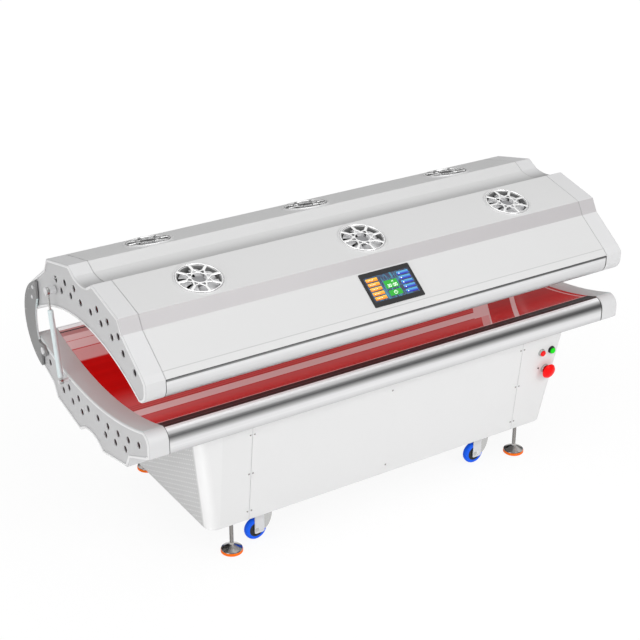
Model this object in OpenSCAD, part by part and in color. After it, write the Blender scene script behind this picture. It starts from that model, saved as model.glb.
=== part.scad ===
// Red light therapy bed: a hinged light canopy over a lit lying surface, on a sheet metal
// cabinet with castors and levelling feet. Millimetres, +X along the bed, front towards -Y.

/* [Overall] */
// Length over the outer faces of the end caps
bed_length = 2000; // [1800:20:2200]
// Depth over the front and rear rails
body_depth = 928; // [900:4:960]
// Length of one end cap along the bed
cap_length = 75; // [60:5:90]
// Gap at the seam between an end cap and its neighbour
seam_gap = 0.5; // [0.3:0.1:1]

/* [Lying surface] */
// Height of the lowest line of the lying surface
bed_height = 572; // [560:2:600]
// Radius of the lying surface
bed_radius = 1355; // [1300:5:1450]
// Thickness of the clear sheet that is lain on
bed_sheet_t = 8; // [6:1:10]
// Height of the lower rail
lower_rail_h = 90; // [84:1:96]
// Radius of the rounded top of the lower rail
lower_rail_r = 42; // [38:1:44]
// Depth of the belly below the lying surface, at its two ridges
belly_depth = 175; // [165:5:180]

/* [Canopy] */
// Height of the tunnel at its middle
tunnel_h = 278; // [268:2:300]
// Radius of the canopy's inner arc
canopy_radius = 834; // [810:2:860]
// Thickness of the canopy's clear sheet
canopy_sheet_t = 5; // [4:0.5:6]
// Height of the ridges above the top of the inner arc
canopy_rise = 178; // [170:2:200]
// Height of the canopy rail
canopy_rail_h = 79; // [74:1:84]
// Radius of the canopy rail's rounded lower edge
canopy_rail_r = 52; // [48:1:54]
// Radius of the canopy rail's upper edge
rail_edge_r = 6; // [2:1:10]
// How far the canopy opens, in degrees
open_angle = 40; // [20:1:40]

/* [Outer skin] */
// Thickness of the formed skins
skin_t = 2; // [1.5:0.5:2.5]
// Half width of the valley between the ridges
valley_half_w = 50; // [40:2:60]
// Depth of the rounded floor of the valley
valley_cove = 7; // [4:1:10]
// Distance across a ridge's inner slope
ridge_run = 44; // [36:2:50]
// Height of a ridge's inner slope
ridge_rise = 25; // [20:1:30]
// Distance from the outermost edge in to a shoulder
shoulder_inset = 179; // [170:1:190]
// Drop from a ridge to its shoulder
shoulder_drop = 45; // [38:1:50]
// Distance across the step below a shoulder
step_run = 27; // [20:1:34]
// Height of the step below a shoulder
step_drop = 48; // [40:1:54]
// Wall of an end cap
cap_wall = 4; // [3:0.5:5]
// Width of the raised rim round an end cap's face
rim_w = 9; // [6:0.5:9.5]
// Height of the rim over the face
rim_h = 4; // [2:0.5:6]
// Diameter of the vent holes in the end caps
vent_d = 25; // [20:1:28]
// Pitch of the vent holes
vent_pitch = 80; // [72:1:90]

/* [Cabinet] */
// Height of the cabinet's lower edge above the floor
cabinet_z = 132; // [126:1:150]
// How far the cabinet's lower edge stands back from each end of the bed
cabinet_setback = 255; // [230:5:300]
// Half depth of the cabinet at its lower edge
cabinet_half_d = 369; // [363:1:372]
// Lean of the ends, run over rise
end_lean = 0.14; // [0.08:0.01:0.16]
// Lean of the front and rear, run over rise
front_lean = 0.111; // [0.08:0.001:0.13]
// Radius of the cabinet's upright corners
corner_r = 42; // [30:1:46]
// Thickness of the cabinet's sheet
sheet_t = 2; // [1.5:0.5:2.5]
// Distance from a panel seam to the cabinet's lower end
seam_inset = 158; // [145:1:185]
// Diameter of the air holes in the cabinet's ends
air_hole_d = 8; // [5:1:10]
// Pitch of the air holes
air_hole_pitch = 48; // [36:2:60]

/* [Frame] */
// Side of the square tubes
tube = 40; // [30:5:40]
// Wall of the square tubes
tube_wall = 3; // [2:0.5:4]
// Distance of the tubes' middle line from the bed's middle line
tube_u = 333; // [320:1:335]
// Thickness of the bulkhead plates
bulkhead_t = 5; // [3:1:8]
// Distance of the inner bulkheads from the middle
inner_bulkhead_x = 205; // [190:5:240]

/* [Feet and castors] */
// Distance from the feet to the cabinet's lower end
foot_inset = 106; // [85:1:120]
// Diameter of a foot's pad
foot_d = 80; // [60:2:90]
// Diameter of a foot's screw
foot_screw_d = 14; // [12:1:16]
// Travel of a foot up and down
foot_travel = 20; // [10:1:25]
// Distance from the castors' swivels to the cabinet's lower end
castor_inset = 255; // [225:5:295]
// Diameter of a castor wheel
wheel_d = 86; // [75:1:88]
// Width of a castor wheel
wheel_w = 24; // [20:1:28]
// Height of the wheels above the floor while the feet carry the bed
wheel_lift = 4.5; // [3:0.5:8]
// Distance from a castor's swivel to its axle
castor_trail = 42; // [36:1:46]

/* [Fans] */
// Distance from the outer fans to the ends of the bed
fan_inset = 347; // [320:1:380]
// Diameter of a fan's opening in the skin
fan_d = 150; // [130:2:152]
// Depth of a fan frame
fan_depth = 38; // [32:1:40]
// Height of the bead pressed into the skin round a fan
fan_bead_h = 2; // [1:0.5:3]
// Number of blades on a rotor
fan_blades = 7; // [5:1:9]
// Number of spokes in a grille
grille_spokes = 8; // [6:1:10]

/* [Display] */
// Width of the display's frame
display_w = 210; // [180:2:240]
// Height of the display's frame
display_h = 138; // [120:2:140]
// Width of the glass
screen_w = 188; // [150:2:196]
// Height of the glass
screen_h = 100; // [80:1:112]

/* [Controls] */
// Distance from the green button to the cabinet's rounded corner
control_inset = 15.5; // [15:0.5:24]
// Distance from the red button to the green button
button_pitch = 48; // [42:1:50]
// Height of the two buttons above the floor
button_z = 457; // [430:1:470]
// Height of the emergency stop above the floor
estop_z = 378; // [350:1:390]
// Diameter of the emergency stop's head
estop_d = 60; // [45:1:64]
// Travel of the two buttons
button_travel = 4; // [2:0.5:5]

/* [Hinge and gas springs] */
// Distance of the hinge behind the bed's middle line
hinge_u = 362; // [355:1:370]
// Height of the hinge
hinge_z = 598; // [596:1:602]
// Radius of the hinge pin
hinge_pin_r = 8; // [6:0.5:10]
// Thickness of a hinge arm
arm_t = 8; // [6:1:10]
// Distance of the gas springs' lower studs behind the middle line
strut_low_u = 162; // [155:1:170]
// Height of the gas springs' lower studs
strut_low_z = 567; // [562:1:568]
// Distance of the gas springs' upper studs behind the middle line
strut_top_u = 221; // [215:1:226]
// Height of the gas springs' upper studs
strut_top_z = 893; // [888:1:900]
// Distance of the gas springs from the faces of the end caps
strut_offset = 28; // [26:1:34]
// Radius of a gas spring's cylinder
strut_r = 10; // [8.5:0.5:12]
// Radius of a gas spring's rod
rod_r = 4; // [3.5:0.5:5]

/* [Fits] */
// Radial clearance of a shaft in its bore
run_fit = 0.05; // [0.02:0.01:0.1]
// Clearance between pieces that are fitted together
fit = 0.3; // [0.2:0.1:0.5]

/* [Hidden] */
$fn = 64;
eps = 0.01;
half_l = bed_length / 2;
half_d = body_depth / 2;
inner_l = half_l - cap_length;
far = 2 * bed_length;

// Hinge arms reach further back than the rails, so the body stands forward of the origin
arm_outer_r = 174;
arm_outer_u = 339;
arm_z = 694;
arm_inner_r = 204;
arm_inner_u = 208;
arm_gap = 1;
shell_y = -(arm_outer_u + arm_outer_r - half_d) / 2;

// Lower half
bed_centre_z = bed_height + bed_radius;
lower_tip_u = half_d - lower_rail_r;
lower_tip_z = bed_centre_z - sqrt(bed_radius * bed_radius - lower_tip_u * lower_tip_u);
lower_rail_z = lower_tip_z - lower_rail_h;
lower_corner_r = 10;
belly_z = bed_height - belly_depth;

// Canopy
canopy_centre_z = bed_height + tunnel_h - canopy_radius;
canopy_face_u = half_d - 2;
canopy_tip_u = canopy_face_u - canopy_rail_r;
canopy_tip_z = canopy_centre_z + sqrt(canopy_radius * canopy_radius - canopy_tip_u * canopy_tip_u);
canopy_nose_z = canopy_tip_z + canopy_rail_r;
canopy_rail_top = canopy_tip_z + canopy_rail_h;
fold_gap = 2.6;
fold_h = 20;
fold_run = 21;
ridge_z = bed_height + tunnel_h + canopy_rise;
ridge_u = valley_half_w + ridge_run;
shoulder_u = half_d - shoulder_inset;
cove_r = (valley_half_w * valley_half_w + valley_cove * valley_cove) / (2 * valley_cove);

canopy_half = [
    [ridge_u, ridge_z],
    [shoulder_u, ridge_z - shoulder_drop],
    [shoulder_u + step_run, ridge_z - shoulder_drop - step_drop],
    [canopy_face_u - fold_run, canopy_rail_top + fold_gap + fold_h],
    [canopy_face_u, canopy_rail_top + fold_gap]
];
lower_half = [
    [ridge_u, belly_z],
    [shoulder_u, belly_z + shoulder_drop - 5],
    [shoulder_u + step_run, belly_z + shoulder_drop + step_drop - 4],
    [half_d - lower_corner_r - 2, lower_rail_z - 2]
];
// The valley's slopes carried on to the middle line, where they'd meet
valley_peak = ridge_u * ridge_rise / ridge_run;
canopy_cove_z = ridge_z - ridge_rise - valley_cove + cove_r;
lower_cove_z = belly_z + ridge_rise + valley_cove - cove_r;

// Slopes of the panels that carry fans and the display
fan_tilt = atan(shoulder_drop / (shoulder_u - ridge_u));
fan_u = (ridge_u + shoulder_u) / 2;
fan_z = ridge_z - shoulder_drop / 2;
panel_a = canopy_half[2];
panel_b = canopy_half[3];
display_tilt = atan((panel_a[1] - panel_b[1]) / (panel_b[0] - panel_a[0]));
display_u = (panel_a[0] + panel_b[0]) / 2 - 3;
display_z = panel_a[1] - (display_u - panel_a[0]) * tan(display_tilt);

// Places along the bed
cabinet_half_l = half_l - cabinet_setback;
seam_x = cabinet_half_l - seam_inset;
foot_x = cabinet_half_l - foot_inset;
castor_x = cabinet_half_l - castor_inset;
fan_x = half_l - fan_inset;

// Light boards hang between ribs, which stand clear of the fans
rib_half_t = 2;
outer_rib_x = fan_x + 177;
inner_rib_x = fan_x / 2 + 3.5;
canopy_rib_x = [-outer_rib_x, -inner_rib_x, inner_rib_x, outer_rib_x];
lower_rib_x = [-seam_x, -inner_bulkhead_x, inner_bulkhead_x, seam_x];
board_t = 4;
board_depth = 34;
board_gap = 4;

// Cabinet
cabinet_top = 560;
front_tilt = atan(front_lean);
flange_w = 24;
tube_z = cabinet_z + sheet_t;
tray_t = 3;
tray_half_l = castor_x + 10;

// Feet
pad_h = 10;
foot_neck_z = 46;
foot_screw_top = 185 + 2 * foot_travel;

// Castors
plate_t = 5;
plate_l = 76;
plate_w = 58;
castor_u = tube_u - 19;
axle_z = wheel_d / 2 + wheel_lift;
axle_r = 5;
crown_t = 4;
race_t = 8;
race_r = 20;
crown_z = tube_z - plate_t - race_t - crown_t;
fork_t = 3;
fork_gap = 1;

// Fans
fan_frame_w = 164;
fan_hub_r = 26;
fan_shaft_r = 3;
grille_r = 82;
grille_t = 4;
fan_ring = 6;
grille_hub_r = 29;
grille_fork_r = 46;
grille_bar = 9;
grille_leg = 5;

// Gas springs
strut_x = half_l + strut_offset;
strut_len = norm([strut_top_u - strut_low_u, strut_top_z - strut_low_z]);
strut_tilt = atan((strut_top_u - strut_low_u) / (strut_top_z - strut_low_z));
stud_r = 4;
stud_top_play = 5.2;
strut_body_end = 68;
strut_body_start = 16;
gland_l = 10;
strut_bore_r = strut_r - 2;
piston_l = 10;
// Stroke: how much longer the gas spring is with the canopy open
top_du = strut_top_u - hinge_u;
top_dz = strut_top_z - hinge_z;
open_top = [
    hinge_u + top_du * cos(open_angle) + top_dz * sin(open_angle),
    hinge_z - top_du * sin(open_angle) + top_dz * cos(open_angle)
];
stroke = norm(open_top - [strut_low_u, strut_low_z]) - strut_len;

// Buttons
seat = 0.05;
green_x = cabinet_half_l + end_lean * (button_z - cabinet_z) - corner_r - control_inset;
red_x = green_x - button_pitch;
estop_x = red_x + button_pitch * 0.62;
lamp_x = red_x - 4;
lamp_z = estop_z + 9;
lamp_r = 3.5;
lamp_shank_r = 2.5;
bezel_r = 15;
button_r = 10.5;
collar_r = 12.7;
bezel_h = 5;
estop_travel = 5;

// Helpers for outlines in the plane across the bed

function edge_normal(a, b) = let (d = (b - a) / norm(b - a)) [-d[1], d[0]];

// Moves an open line sideways by d, with mitred corners
function shifted(p, d) = [
    for (i = [0 : len(p) - 1])
        let (
            last = len(p) - 1,
            n0 = i > 0 ? edge_normal(p[i - 1], p[i]) : edge_normal(p[0], p[1]),
            n1 = i < last ? edge_normal(p[i], p[i + 1]) : n0
        )
        p[i] + d * (n0 + n1) / (1 + n0 * n1)
];

function reversed(p) = [for (i = [len(p) - 1 : -1 : 0]) p[i]];

function flipped(p) = [for (q = reversed(p)) [-q[0], q[1]]];

function both_sides(p) = concat(flipped(p), p);

function notched(p, peak) = concat(flipped(p), [[0, peak]], p);

canopy_line = notched(canopy_half, ridge_z - valley_peak);
lower_line = notched(lower_half, belly_z + valley_peak);

// Extrudes an outline drawn across the bed from x0 to x1
module along_x(x0, x1) {
    translate([x0, shell_y, 0])
        rotate([90, 0, 90])
            linear_extrude(height = x1 - x0)
                children();
}

module mirror_pair() {
    children();
    mirror([1, 0, 0])
        children();
}

module quarter_2d(r) {
    intersection() {
        circle(r = r, $fn = 128);
        square(r);
    }
}

module disc_at(u, z, r) {
    translate([u, z])
        circle(r = r, $fn = 128);
}

// Fills the tip of the notch between the ridges down to the valley's round floor,
// above a disc (side 1) or below it (side -1)
module valley_floor_2d(z, r, side) {
    reach_u = valley_half_w + valley_cove - 1;
    deep = 2 * valley_cove;
    difference() {
        translate([-reach_u, z + side * r - (side > 0 ? deep : 4 * deep)])
            square([2 * reach_u, 5 * deep]);
        disc_at(0, z, r);
    }
}

// Sector of a ring round the middle line, between two distances from it
module arc_band(centre_z, r0, r1, u0, u1, z0, z1) {
    intersection() {
        difference() {
            disc_at(0, centre_z, r1);
            disc_at(0, centre_z, r0);
        }
        translate([u0, z0])
            square([u1 - u0, z1 - z0]);
    }
}

// Canopy outlines

module canopy_nose_2d(grow) {
    r = canopy_rail_r + grow;
    translate([canopy_tip_u, canopy_nose_z])
        intersection() {
            circle(r = r, $fn = 128);
            translate([0, -r])
                square([r, r]);
        }
}

module canopy_outline_2d() {
    body = concat(canopy_half, [
        [canopy_face_u, canopy_nose_z],
        [canopy_tip_u, canopy_nose_z],
        [canopy_tip_u, canopy_tip_z]
    ]);
    difference() {
        union() {
            polygon(notched(body, ridge_z - valley_peak));
            valley_floor_2d(canopy_cove_z, cove_r, -1);
            mirror_pair()
                canopy_nose_2d(0);
        }
        disc_at(0, canopy_centre_z, canopy_radius);
    }
}

module canopy_skin_2d() {
    under = shifted(canopy_line, -skin_t);
    difference() {
        union() {
            polygon(canopy_line);
            valley_floor_2d(canopy_cove_z, cove_r, -1);
        }
        polygon(concat(under, [[canopy_face_u - skin_t, bed_height], [skin_t - canopy_face_u, bed_height]]));
        valley_floor_2d(canopy_cove_z, cove_r + skin_t, -1);
    }
}

// Space under the canopy skin, down to the clear sheet
module canopy_inside_2d(clear_skin, clear_sheet) {
    line = notched([for (i = [0 : 3]) canopy_half[i]], ridge_z - valley_peak);
    inner = shifted(line, -skin_t - clear_skin);
    wall_u = canopy_tip_u - 10;
    difference() {
        union() {
            intersection() {
                polygon(concat(inner, [[canopy_face_u, bed_height], [-canopy_face_u, bed_height]]));
                translate([-wall_u, bed_height])
                    square([2 * wall_u, ridge_z]);
            }
            valley_floor_2d(canopy_cove_z, cove_r + skin_t + clear_skin, -1);
        }
        disc_at(0, canopy_centre_z, canopy_radius + clear_sheet);
    }
}

// Lower outlines

// Rounded nose of the lower rail, drawn in by the distance d
module lower_nose_2d(d) {
    nose_z = lower_tip_z - lower_rail_r;
    corner_z = lower_rail_z + lower_corner_r;
    translate([lower_tip_u, nose_z])
        quarter_2d(lower_rail_r - d);
    translate([lower_tip_u, corner_z])
        square([lower_rail_r - d, nose_z - corner_z]);
    translate([lower_tip_u, lower_rail_z + d])
        square([lower_rail_r - lower_corner_r, lower_corner_r - d]);
    translate([half_d - lower_corner_r, corner_z])
        mirror([0, 1])
            quarter_2d(lower_corner_r - d);
}

module lower_outline_2d() {
    body = concat(lower_half, [
        [half_d - lower_corner_r, lower_rail_z],
        [lower_tip_u, lower_rail_z],
        [lower_tip_u, lower_tip_z]
    ]);
    difference() {
        union() {
            polygon(notched(body, belly_z + valley_peak));
            valley_floor_2d(lower_cove_z, cove_r, 1);
            mirror_pair()
                lower_nose_2d(0);
        }
        disc_at(0, bed_centre_z, bed_radius);
    }
}

// Region under a line that lies outside the belly by the distance grow, to trim what meets it
module belly_2d(grow) {
    floor_end = [valley_half_w, belly_z + ridge_rise];
    outer = shifted(both_sides(concat([floor_end], lower_half)), -grow);
    polygon(concat(outer, [[half_d, ridge_z], [-half_d, ridge_z]]));
}

module lower_skin_2d() {
    over = shifted(lower_line, skin_t);
    difference() {
        union() {
            polygon(lower_line);
            valley_floor_2d(lower_cove_z, cove_r, 1);
        }
        polygon(concat(over, [[half_d, canopy_tip_z], [-half_d, canopy_tip_z]]));
        valley_floor_2d(lower_cove_z, cove_r + skin_t, 1);
    }
}

module lower_inside_2d(clear_skin, clear_sheet) {
    inner = shifted(lower_line, skin_t + clear_skin);
    wall_u = lower_tip_u - 12;
    difference() {
        union() {
            intersection() {
                polygon(concat(inner, [[half_d, canopy_tip_z], [-half_d, canopy_tip_z]]));
                translate([-wall_u, 0])
                    square([2 * wall_u, canopy_tip_z]);
            }
            valley_floor_2d(lower_cove_z, cove_r + skin_t + clear_skin, 1);
        }
        disc_at(0, bed_centre_z, bed_radius + clear_sheet);
    }
}

// Cabinet body: a box with rounded upright corners that widens upwards

module cabinet_block(inset, z0, z1) {
    hull()
        for (z = [z0, z1])
            let (
                hx = cabinet_half_l + end_lean * (z - cabinet_z),
                hy = cabinet_half_d + front_lean * (z - cabinet_z)
            )
            for (sx = [-1, 1], sy = [-1, 1])
                translate([sx * (hx - corner_r), sy * (hy - corner_r), z - (z == z1 ? eps : 0)])
                    cylinder(r = corner_r - inset, h = eps, $fn = 32);
}

module cabinet_skin() {
    difference() {
        translate([0, shell_y, 0])
            difference() {
                cabinet_block(0, cabinet_z, cabinet_top);
                cabinet_block(sheet_t, cabinet_z + sheet_t, cabinet_top + 1);
                translate([0, 0, cabinet_z - 1])
                    linear_extrude(height = sheet_t + 2)
                        square([2 * (cabinet_half_l - flange_w), 2 * (cabinet_half_d - flange_w)],
                               center = true);
            }
        along_x(-half_l, half_l)
            belly_2d(0.5);
    }
}

function front_u(z) = -(cabinet_half_d + front_lean * (z - cabinet_z));

// Puts what is drawn upwards onto the front panel, standing out of it
module on_front(x, z) {
    translate([x, shell_y + front_u(z), z])
        rotate([90 + front_tilt, 0, 0])
            children();
}

module on_rear(x, z) {
    translate([0, 2 * shell_y, 0])
        mirror([0, 1, 0])
            on_front(x, z)
                children();
}

screw_z = [170, 331, 494];

module at_screws() {
    for (x = [-seam_x, seam_x], dx = [-8, 8], z = screw_z) {
        on_front(x + dx, z)
            children();
        on_rear(x + dx, z)
            children();
    }
}

module x_slab(x0, x1) {
    translate([x0, -far / 2, 0])
        cube([x1 - x0, far, ridge_z]);
}

// Base: frame

module bulkhead(x) {
    foot_w = cabinet_half_d + front_lean * (tube_z - cabinet_z) - sheet_t - fit;
    top_w = foot_w + front_lean * (cabinet_top - tube_z);
    along_x(x - bulkhead_t / 2, x + bulkhead_t / 2)
        difference() {
            polygon([[-foot_w, tube_z], [foot_w, tube_z], [top_w, cabinet_top], [-top_w, cabinet_top]]);
            belly_2d(fit);
            for (u = [-190, 0, 190])
                translate([u - 70, tube_z + tube + 40])
                    square([140, 130]);
        }
}

module long_tube(u) {
    translate([-(cabinet_half_l - 20), shell_y + u - tube / 2, tube_z])
        difference() {
            cube([2 * (cabinet_half_l - 20), tube, tube]);
            translate([-1, tube_wall, tube_wall])
                cube([2 * cabinet_half_l, tube - 2 * tube_wall, tube - 2 * tube_wall]);
        }
}

module cross_tube(x) {
    translate([x - tube / 2, shell_y - tube_u + tube / 2, tube_z])
        cube([tube, 2 * tube_u - tube, tube]);
}

module at_feet() {
    for (sx = [-1, 1], sy = [-1, 1])
        translate([sx * foot_x, shell_y + sy * tube_u, 0])
            children();
}

module screw_strip(x) {
    strip_t = 4;
    strip_l = 372;
    on_front(x, tube_z)
        translate([-22, 4, -sheet_t - fit - strip_t])
            cube([44, strip_l, strip_t]);
}

module base_frame() {
    color([0.30, 0.31, 0.33])
        difference() {
            union() {
                for (s = [-1, 1])
                    long_tube(s * tube_u);
                for (x = [-foot_x + 45, foot_x - 45, -tray_half_l + 60, tray_half_l - 60])
                    cross_tube(x);
                for (x = lower_rib_x)
                    bulkhead(x);
                for (x = [-seam_x, seam_x]) {
                    screw_strip(x);
                    translate([0, 2 * shell_y, 0])
                        mirror([0, 1, 0])
                            screw_strip(x);
                }
                at_feet()
                    translate([0, 0, tube_z])
                        cylinder(r = foot_screw_d, h = 20);
                translate([-tray_half_l, shell_y - tube_u, tube_z + tube])
                    cube([2 * tray_half_l, 2 * tube_u, tray_t]);
            }
            at_feet() {
                translate([0, 0, tube_z - 1])
                    cylinder(d = foot_screw_d + 2 * run_fit, h = 22);
                translate([0, 0, tube_z + 20])
                    cylinder(d = foot_screw_d + 2, h = tube);
            }
            at_screws()
                translate([0, 0, -12])
                    cylinder(r = 2.3, h = 14);
        }
}

// Base: cabinet sheets

module screw_holes() {
    at_screws()
        translate([0, 0, -6])
            cylinder(r = 2.3, h = 8);
}

module half_space_y(side) {
    translate([-far / 2, side > 0 ? shell_y : shell_y - far, 0])
        cube([far, far, ridge_z]);
}

module cabinet_front() {
    color([0.92, 0.92, 0.92])
        difference() {
            intersection() {
                cabinet_skin();
                x_slab(-seam_x + seam_gap / 2, seam_x - seam_gap / 2);
                half_space_y(-1);
            }
            screw_holes();
        }
}

module rear_slots() {
    for (x = seam_x * [-0.56, 0, 0.56], i = [0 : 7])
        on_rear(x - 70, 240 + 20 * i)
            translate([0, 0, -6])
                linear_extrude(height = 10)
                    square([140, 8]);
}

module cabinet_rear() {
    color([0.92, 0.92, 0.92])
        difference() {
            intersection() {
                cabinet_skin();
                x_slab(-seam_x + seam_gap / 2, seam_x - seam_gap / 2);
                half_space_y(1);
            }
            screw_holes();
            rear_slots();
            on_rear(inlet_x, inlet_z)
                translate([-inlet_w / 2, -inlet_h / 2, -6])
                    cube([inlet_w, inlet_h, 8]);
        }
}

// Staggered air holes through the flat part of an end
module air_holes() {
    row_pitch = air_hole_pitch / 2;
    reach = cabinet_half_d - corner_r - air_hole_pitch / 2;
    columns = floor(reach / air_hole_pitch);
    rows = floor((belly_z - cabinet_z - 2 * row_pitch) / row_pitch);
    for (k = [0 : rows - 1], i = [-columns : columns - k % 2])
        translate([-half_l, shell_y + (i + (k % 2) / 2) * air_hole_pitch, cabinet_z + (k + 1.6) * row_pitch])
            rotate([0, 90, 0])
                cylinder(d = air_hole_d, h = cabinet_setback + 20);
}

module cabinet_end() {
    difference() {
        intersection() {
            cabinet_skin();
            x_slab(-half_l, -seam_x - seam_gap / 2);
        }
        screw_holes();
        air_holes();
    }
}

module cabinet_end_left() {
    color([0.90, 0.90, 0.90])
        cabinet_end();
}

module cabinet_end_right() {
    color([0.90, 0.90, 0.90])
        difference() {
            mirror([1, 0, 0])
                cabinet_end();
            at_controls()
                translate([0, 0, -6])
                    cylinder(r = collar_r + fit, h = 8);
            on_front(lamp_x, lamp_z)
                translate([0, 0, -6])
                    cylinder(r = lamp_shank_r + fit, h = 8);
        }
}

module cabinet_screws() {
    color("silver")
        at_screws() {
            translate([0, 0, seat])
                cylinder(r = 3.5, h = 1.6);
            translate([0, 0, -8])
                cylinder(r = 2, h = 8.5);
        }
}

inlet_x = -420;
inlet_z = 260;
inlet_w = 48;
inlet_h = 28;

module mains_inlet() {
    color([0.08, 0.08, 0.08])
        on_rear(inlet_x, inlet_z)
            difference() {
                union() {
                    translate([-inlet_w / 2 - 8, -inlet_h / 2 - 5, seat])
                        cube([inlet_w + 16, inlet_h + 10, 3]);
                    translate([-inlet_w / 2 + 0.5, -inlet_h / 2 + 0.5, -26])
                        cube([inlet_w - 1, inlet_h - 1, 27]);
                }
                translate([-14, -10, -16])
                    cube([28, 20, 30]);
            }
}

module power_supplies() {
    color([0.65, 0.66, 0.68])
        for (x = tray_half_l * [-0.66, -0.2, 0.2, 0.66])
            translate([x - 60, shell_y - 110, tube_z + tube + tray_t])
                cube([120, 220, 50]);
}

// Base: lower light bed

module lower_shell() {
    color([0.86, 0.86, 0.86])
        along_x(-inner_l + seam_gap, inner_l - seam_gap)
            lower_skin_2d();
}

lower_row_r = bed_radius + 56;
lower_outer_r = bed_radius + 97;
canopy_row_r = canopy_radius + 71;
canopy_outer_r = canopy_radius + 107;
row_shift = 18;

module lower_vents_2d() {
    for (i = [-5 : 4])
        let (u = i * vent_pitch + row_shift)
            disc_at(u, bed_centre_z - sqrt(lower_row_r * lower_row_r - u * u), vent_d / 2);
    for (i = [-3, -2, -1, 1, 2, 3])
        let (u = i * (vent_pitch - 2) - (i < 0 ? 41 : 4))
            disc_at(u, bed_centre_z - sqrt(lower_outer_r * lower_outer_r - u * u), vent_d / 2);
}

module canopy_vents_2d() {
    for (i = [-5 : 2])
        let (u = i * vent_pitch + row_shift - 4)
            disc_at(u, canopy_centre_z + sqrt(canopy_row_r * canopy_row_r - u * u), vent_d / 2);
    for (i = [-3, -2, -1, 1, 2, 3])
        let (u = i * (vent_pitch - 2) - (i < 0 ? 41 : 16))
            disc_at(u, canopy_centre_z + sqrt(canopy_outer_r * canopy_outer_r - u * u), vent_d / 2);
}

// Outline of the lower cap, drawn in by the distance d
module lower_inset_2d(d) {
    line = shifted(lower_line, d);
    nose_z = lower_tip_z - lower_rail_r;
    corner_u = half_d - lower_corner_r;
    difference() {
        union() {
            intersection() {
                polygon(concat(line, [[half_d, far], [-half_d, far]]));
                union() {
                    translate([-lower_tip_u, 0])
                        square([2 * lower_tip_u, canopy_tip_z]);
                    translate([-corner_u, 0])
                        square([2 * corner_u, nose_z]);
                }
            }
            valley_floor_2d(lower_cove_z, cove_r + d, 1);
            mirror_pair()
                lower_nose_2d(d);
        }
        disc_at(0, bed_centre_z, bed_radius + d);
    }
}

module lower_cap() {
    difference() {
        along_x(-half_l, -inner_l)
            lower_outline_2d();
        along_x(-half_l - 1, -half_l + rim_h)
            lower_inset_2d(rim_w);
        along_x(-half_l + rim_h + cap_wall, -inner_l + 1)
            lower_inset_2d(cap_wall);
        along_x(-half_l - 1, -half_l + rim_h + cap_wall + 1)
            lower_vents_2d();
    }
}

// Adds solid bosses through a cap's face at the points given, bored for the pins screwed in there
module with_bosses(points, r) {
    difference() {
        union() {
            children();
            for (p = points)
                along_x(-half_l, -half_l + 30)
                    disc_at(p[0], p[1], r);
        }
        for (p = points)
            along_x(-half_l - 1, -half_l + 26)
                disc_at(p[0], p[1], stud_r);
    }
}

lower_pins = [[hinge_u, hinge_z], [strut_low_u, strut_low_z]];

module lower_cap_left() {
    color([0.80, 0.80, 0.80])
        with_bosses(lower_pins, 12)
            lower_cap();
}

module lower_cap_right() {
    color([0.80, 0.80, 0.80])
        mirror([1, 0, 0])
            with_bosses(lower_pins, 12)
                lower_cap();
}

rail_wall = 3;
lip_w = 18;

module lower_rail_2d() {
    wall_u = lower_tip_u - 10;
    foot_slope = (lower_half[3][1] - lower_half[2][1]) / (lower_half[3][0] - lower_half[2][0]);
    foot_z = lower_half[2][1] + foot_slope * (wall_u + rail_wall - lower_half[2][0]) + skin_t * 1.2 + fit;
    difference() {
        union() {
            lower_nose_2d(0);
            translate([wall_u, lower_rail_z])
                square([lower_tip_u - wall_u, lower_rail_h]);
            translate([wall_u, foot_z])
                square([rail_wall, lower_rail_z - foot_z]);
        }
        lower_nose_2d(rail_wall);
        translate([wall_u + rail_wall, lower_rail_z + rail_wall])
            square([lower_tip_u - wall_u - rail_wall, lower_rail_h - 2 * rail_wall - 1]);
        disc_at(0, bed_centre_z, bed_radius + 0.5);
    }
    arc_band(bed_centre_z, bed_radius + bed_sheet_t + 2, bed_radius + bed_sheet_t + 5,
             wall_u - lip_w, wall_u + 1, 0, bed_centre_z);
}

module lower_rails() {
    color([0.78, 0.78, 0.80])
        along_x(-inner_l + seam_gap, inner_l - seam_gap)
            mirror_pair()
                lower_rail_2d();
}

seal_w = 34;

module bed_sheet() {
    edge_u = lower_tip_u - 10 - seal_w - fit;
    color([0.85, 0.25, 0.25, 0.4])
        along_x(-inner_l + seam_gap, inner_l - seam_gap)
            arc_band(bed_centre_z, bed_radius + 1, bed_radius + 1 + bed_sheet_t, -edge_u, edge_u, 0, bed_centre_z);
}

module bed_seals() {
    outer_u = lower_tip_u - 10 - fit;
    color([0.10, 0.10, 0.10])
        along_x(-inner_l + seam_gap, inner_l - seam_gap)
            mirror_pair() {
                arc_band(bed_centre_z, bed_radius + 1, bed_radius + bed_sheet_t + 1.7,
                         outer_u - seal_w, outer_u, 0, bed_centre_z);
                arc_band(bed_centre_z, bed_radius + bed_sheet_t + 1.3, bed_radius + bed_sheet_t + 4,
                         outer_u - seal_w - 10, outer_u - seal_w + 6, 0, bed_centre_z);
            }
}

module lower_ribs() {
    color([0.93, 0.88, 0.88])
        for (x = lower_rib_x)
            along_x(x - rib_half_t, x + rib_half_t)
                difference() {
                    lower_inside_2d(fit, bed_sheet_t + 6);
                    for (u = [-200, 0, 200])
                        translate([u, belly_z + 75])
                            circle(r = 28);
                }
}

lower_board_w = 140;
canopy_board_w = 120;

module board_bays(ribs) {
    ends = concat([-inner_l + 4], ribs, [inner_l - 4]);
    for (i = [0 : len(ends) - 2])
        along_x(ends[i] + rib_half_t + fit, ends[i + 1] - rib_half_t - fit)
            children();
}

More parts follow.
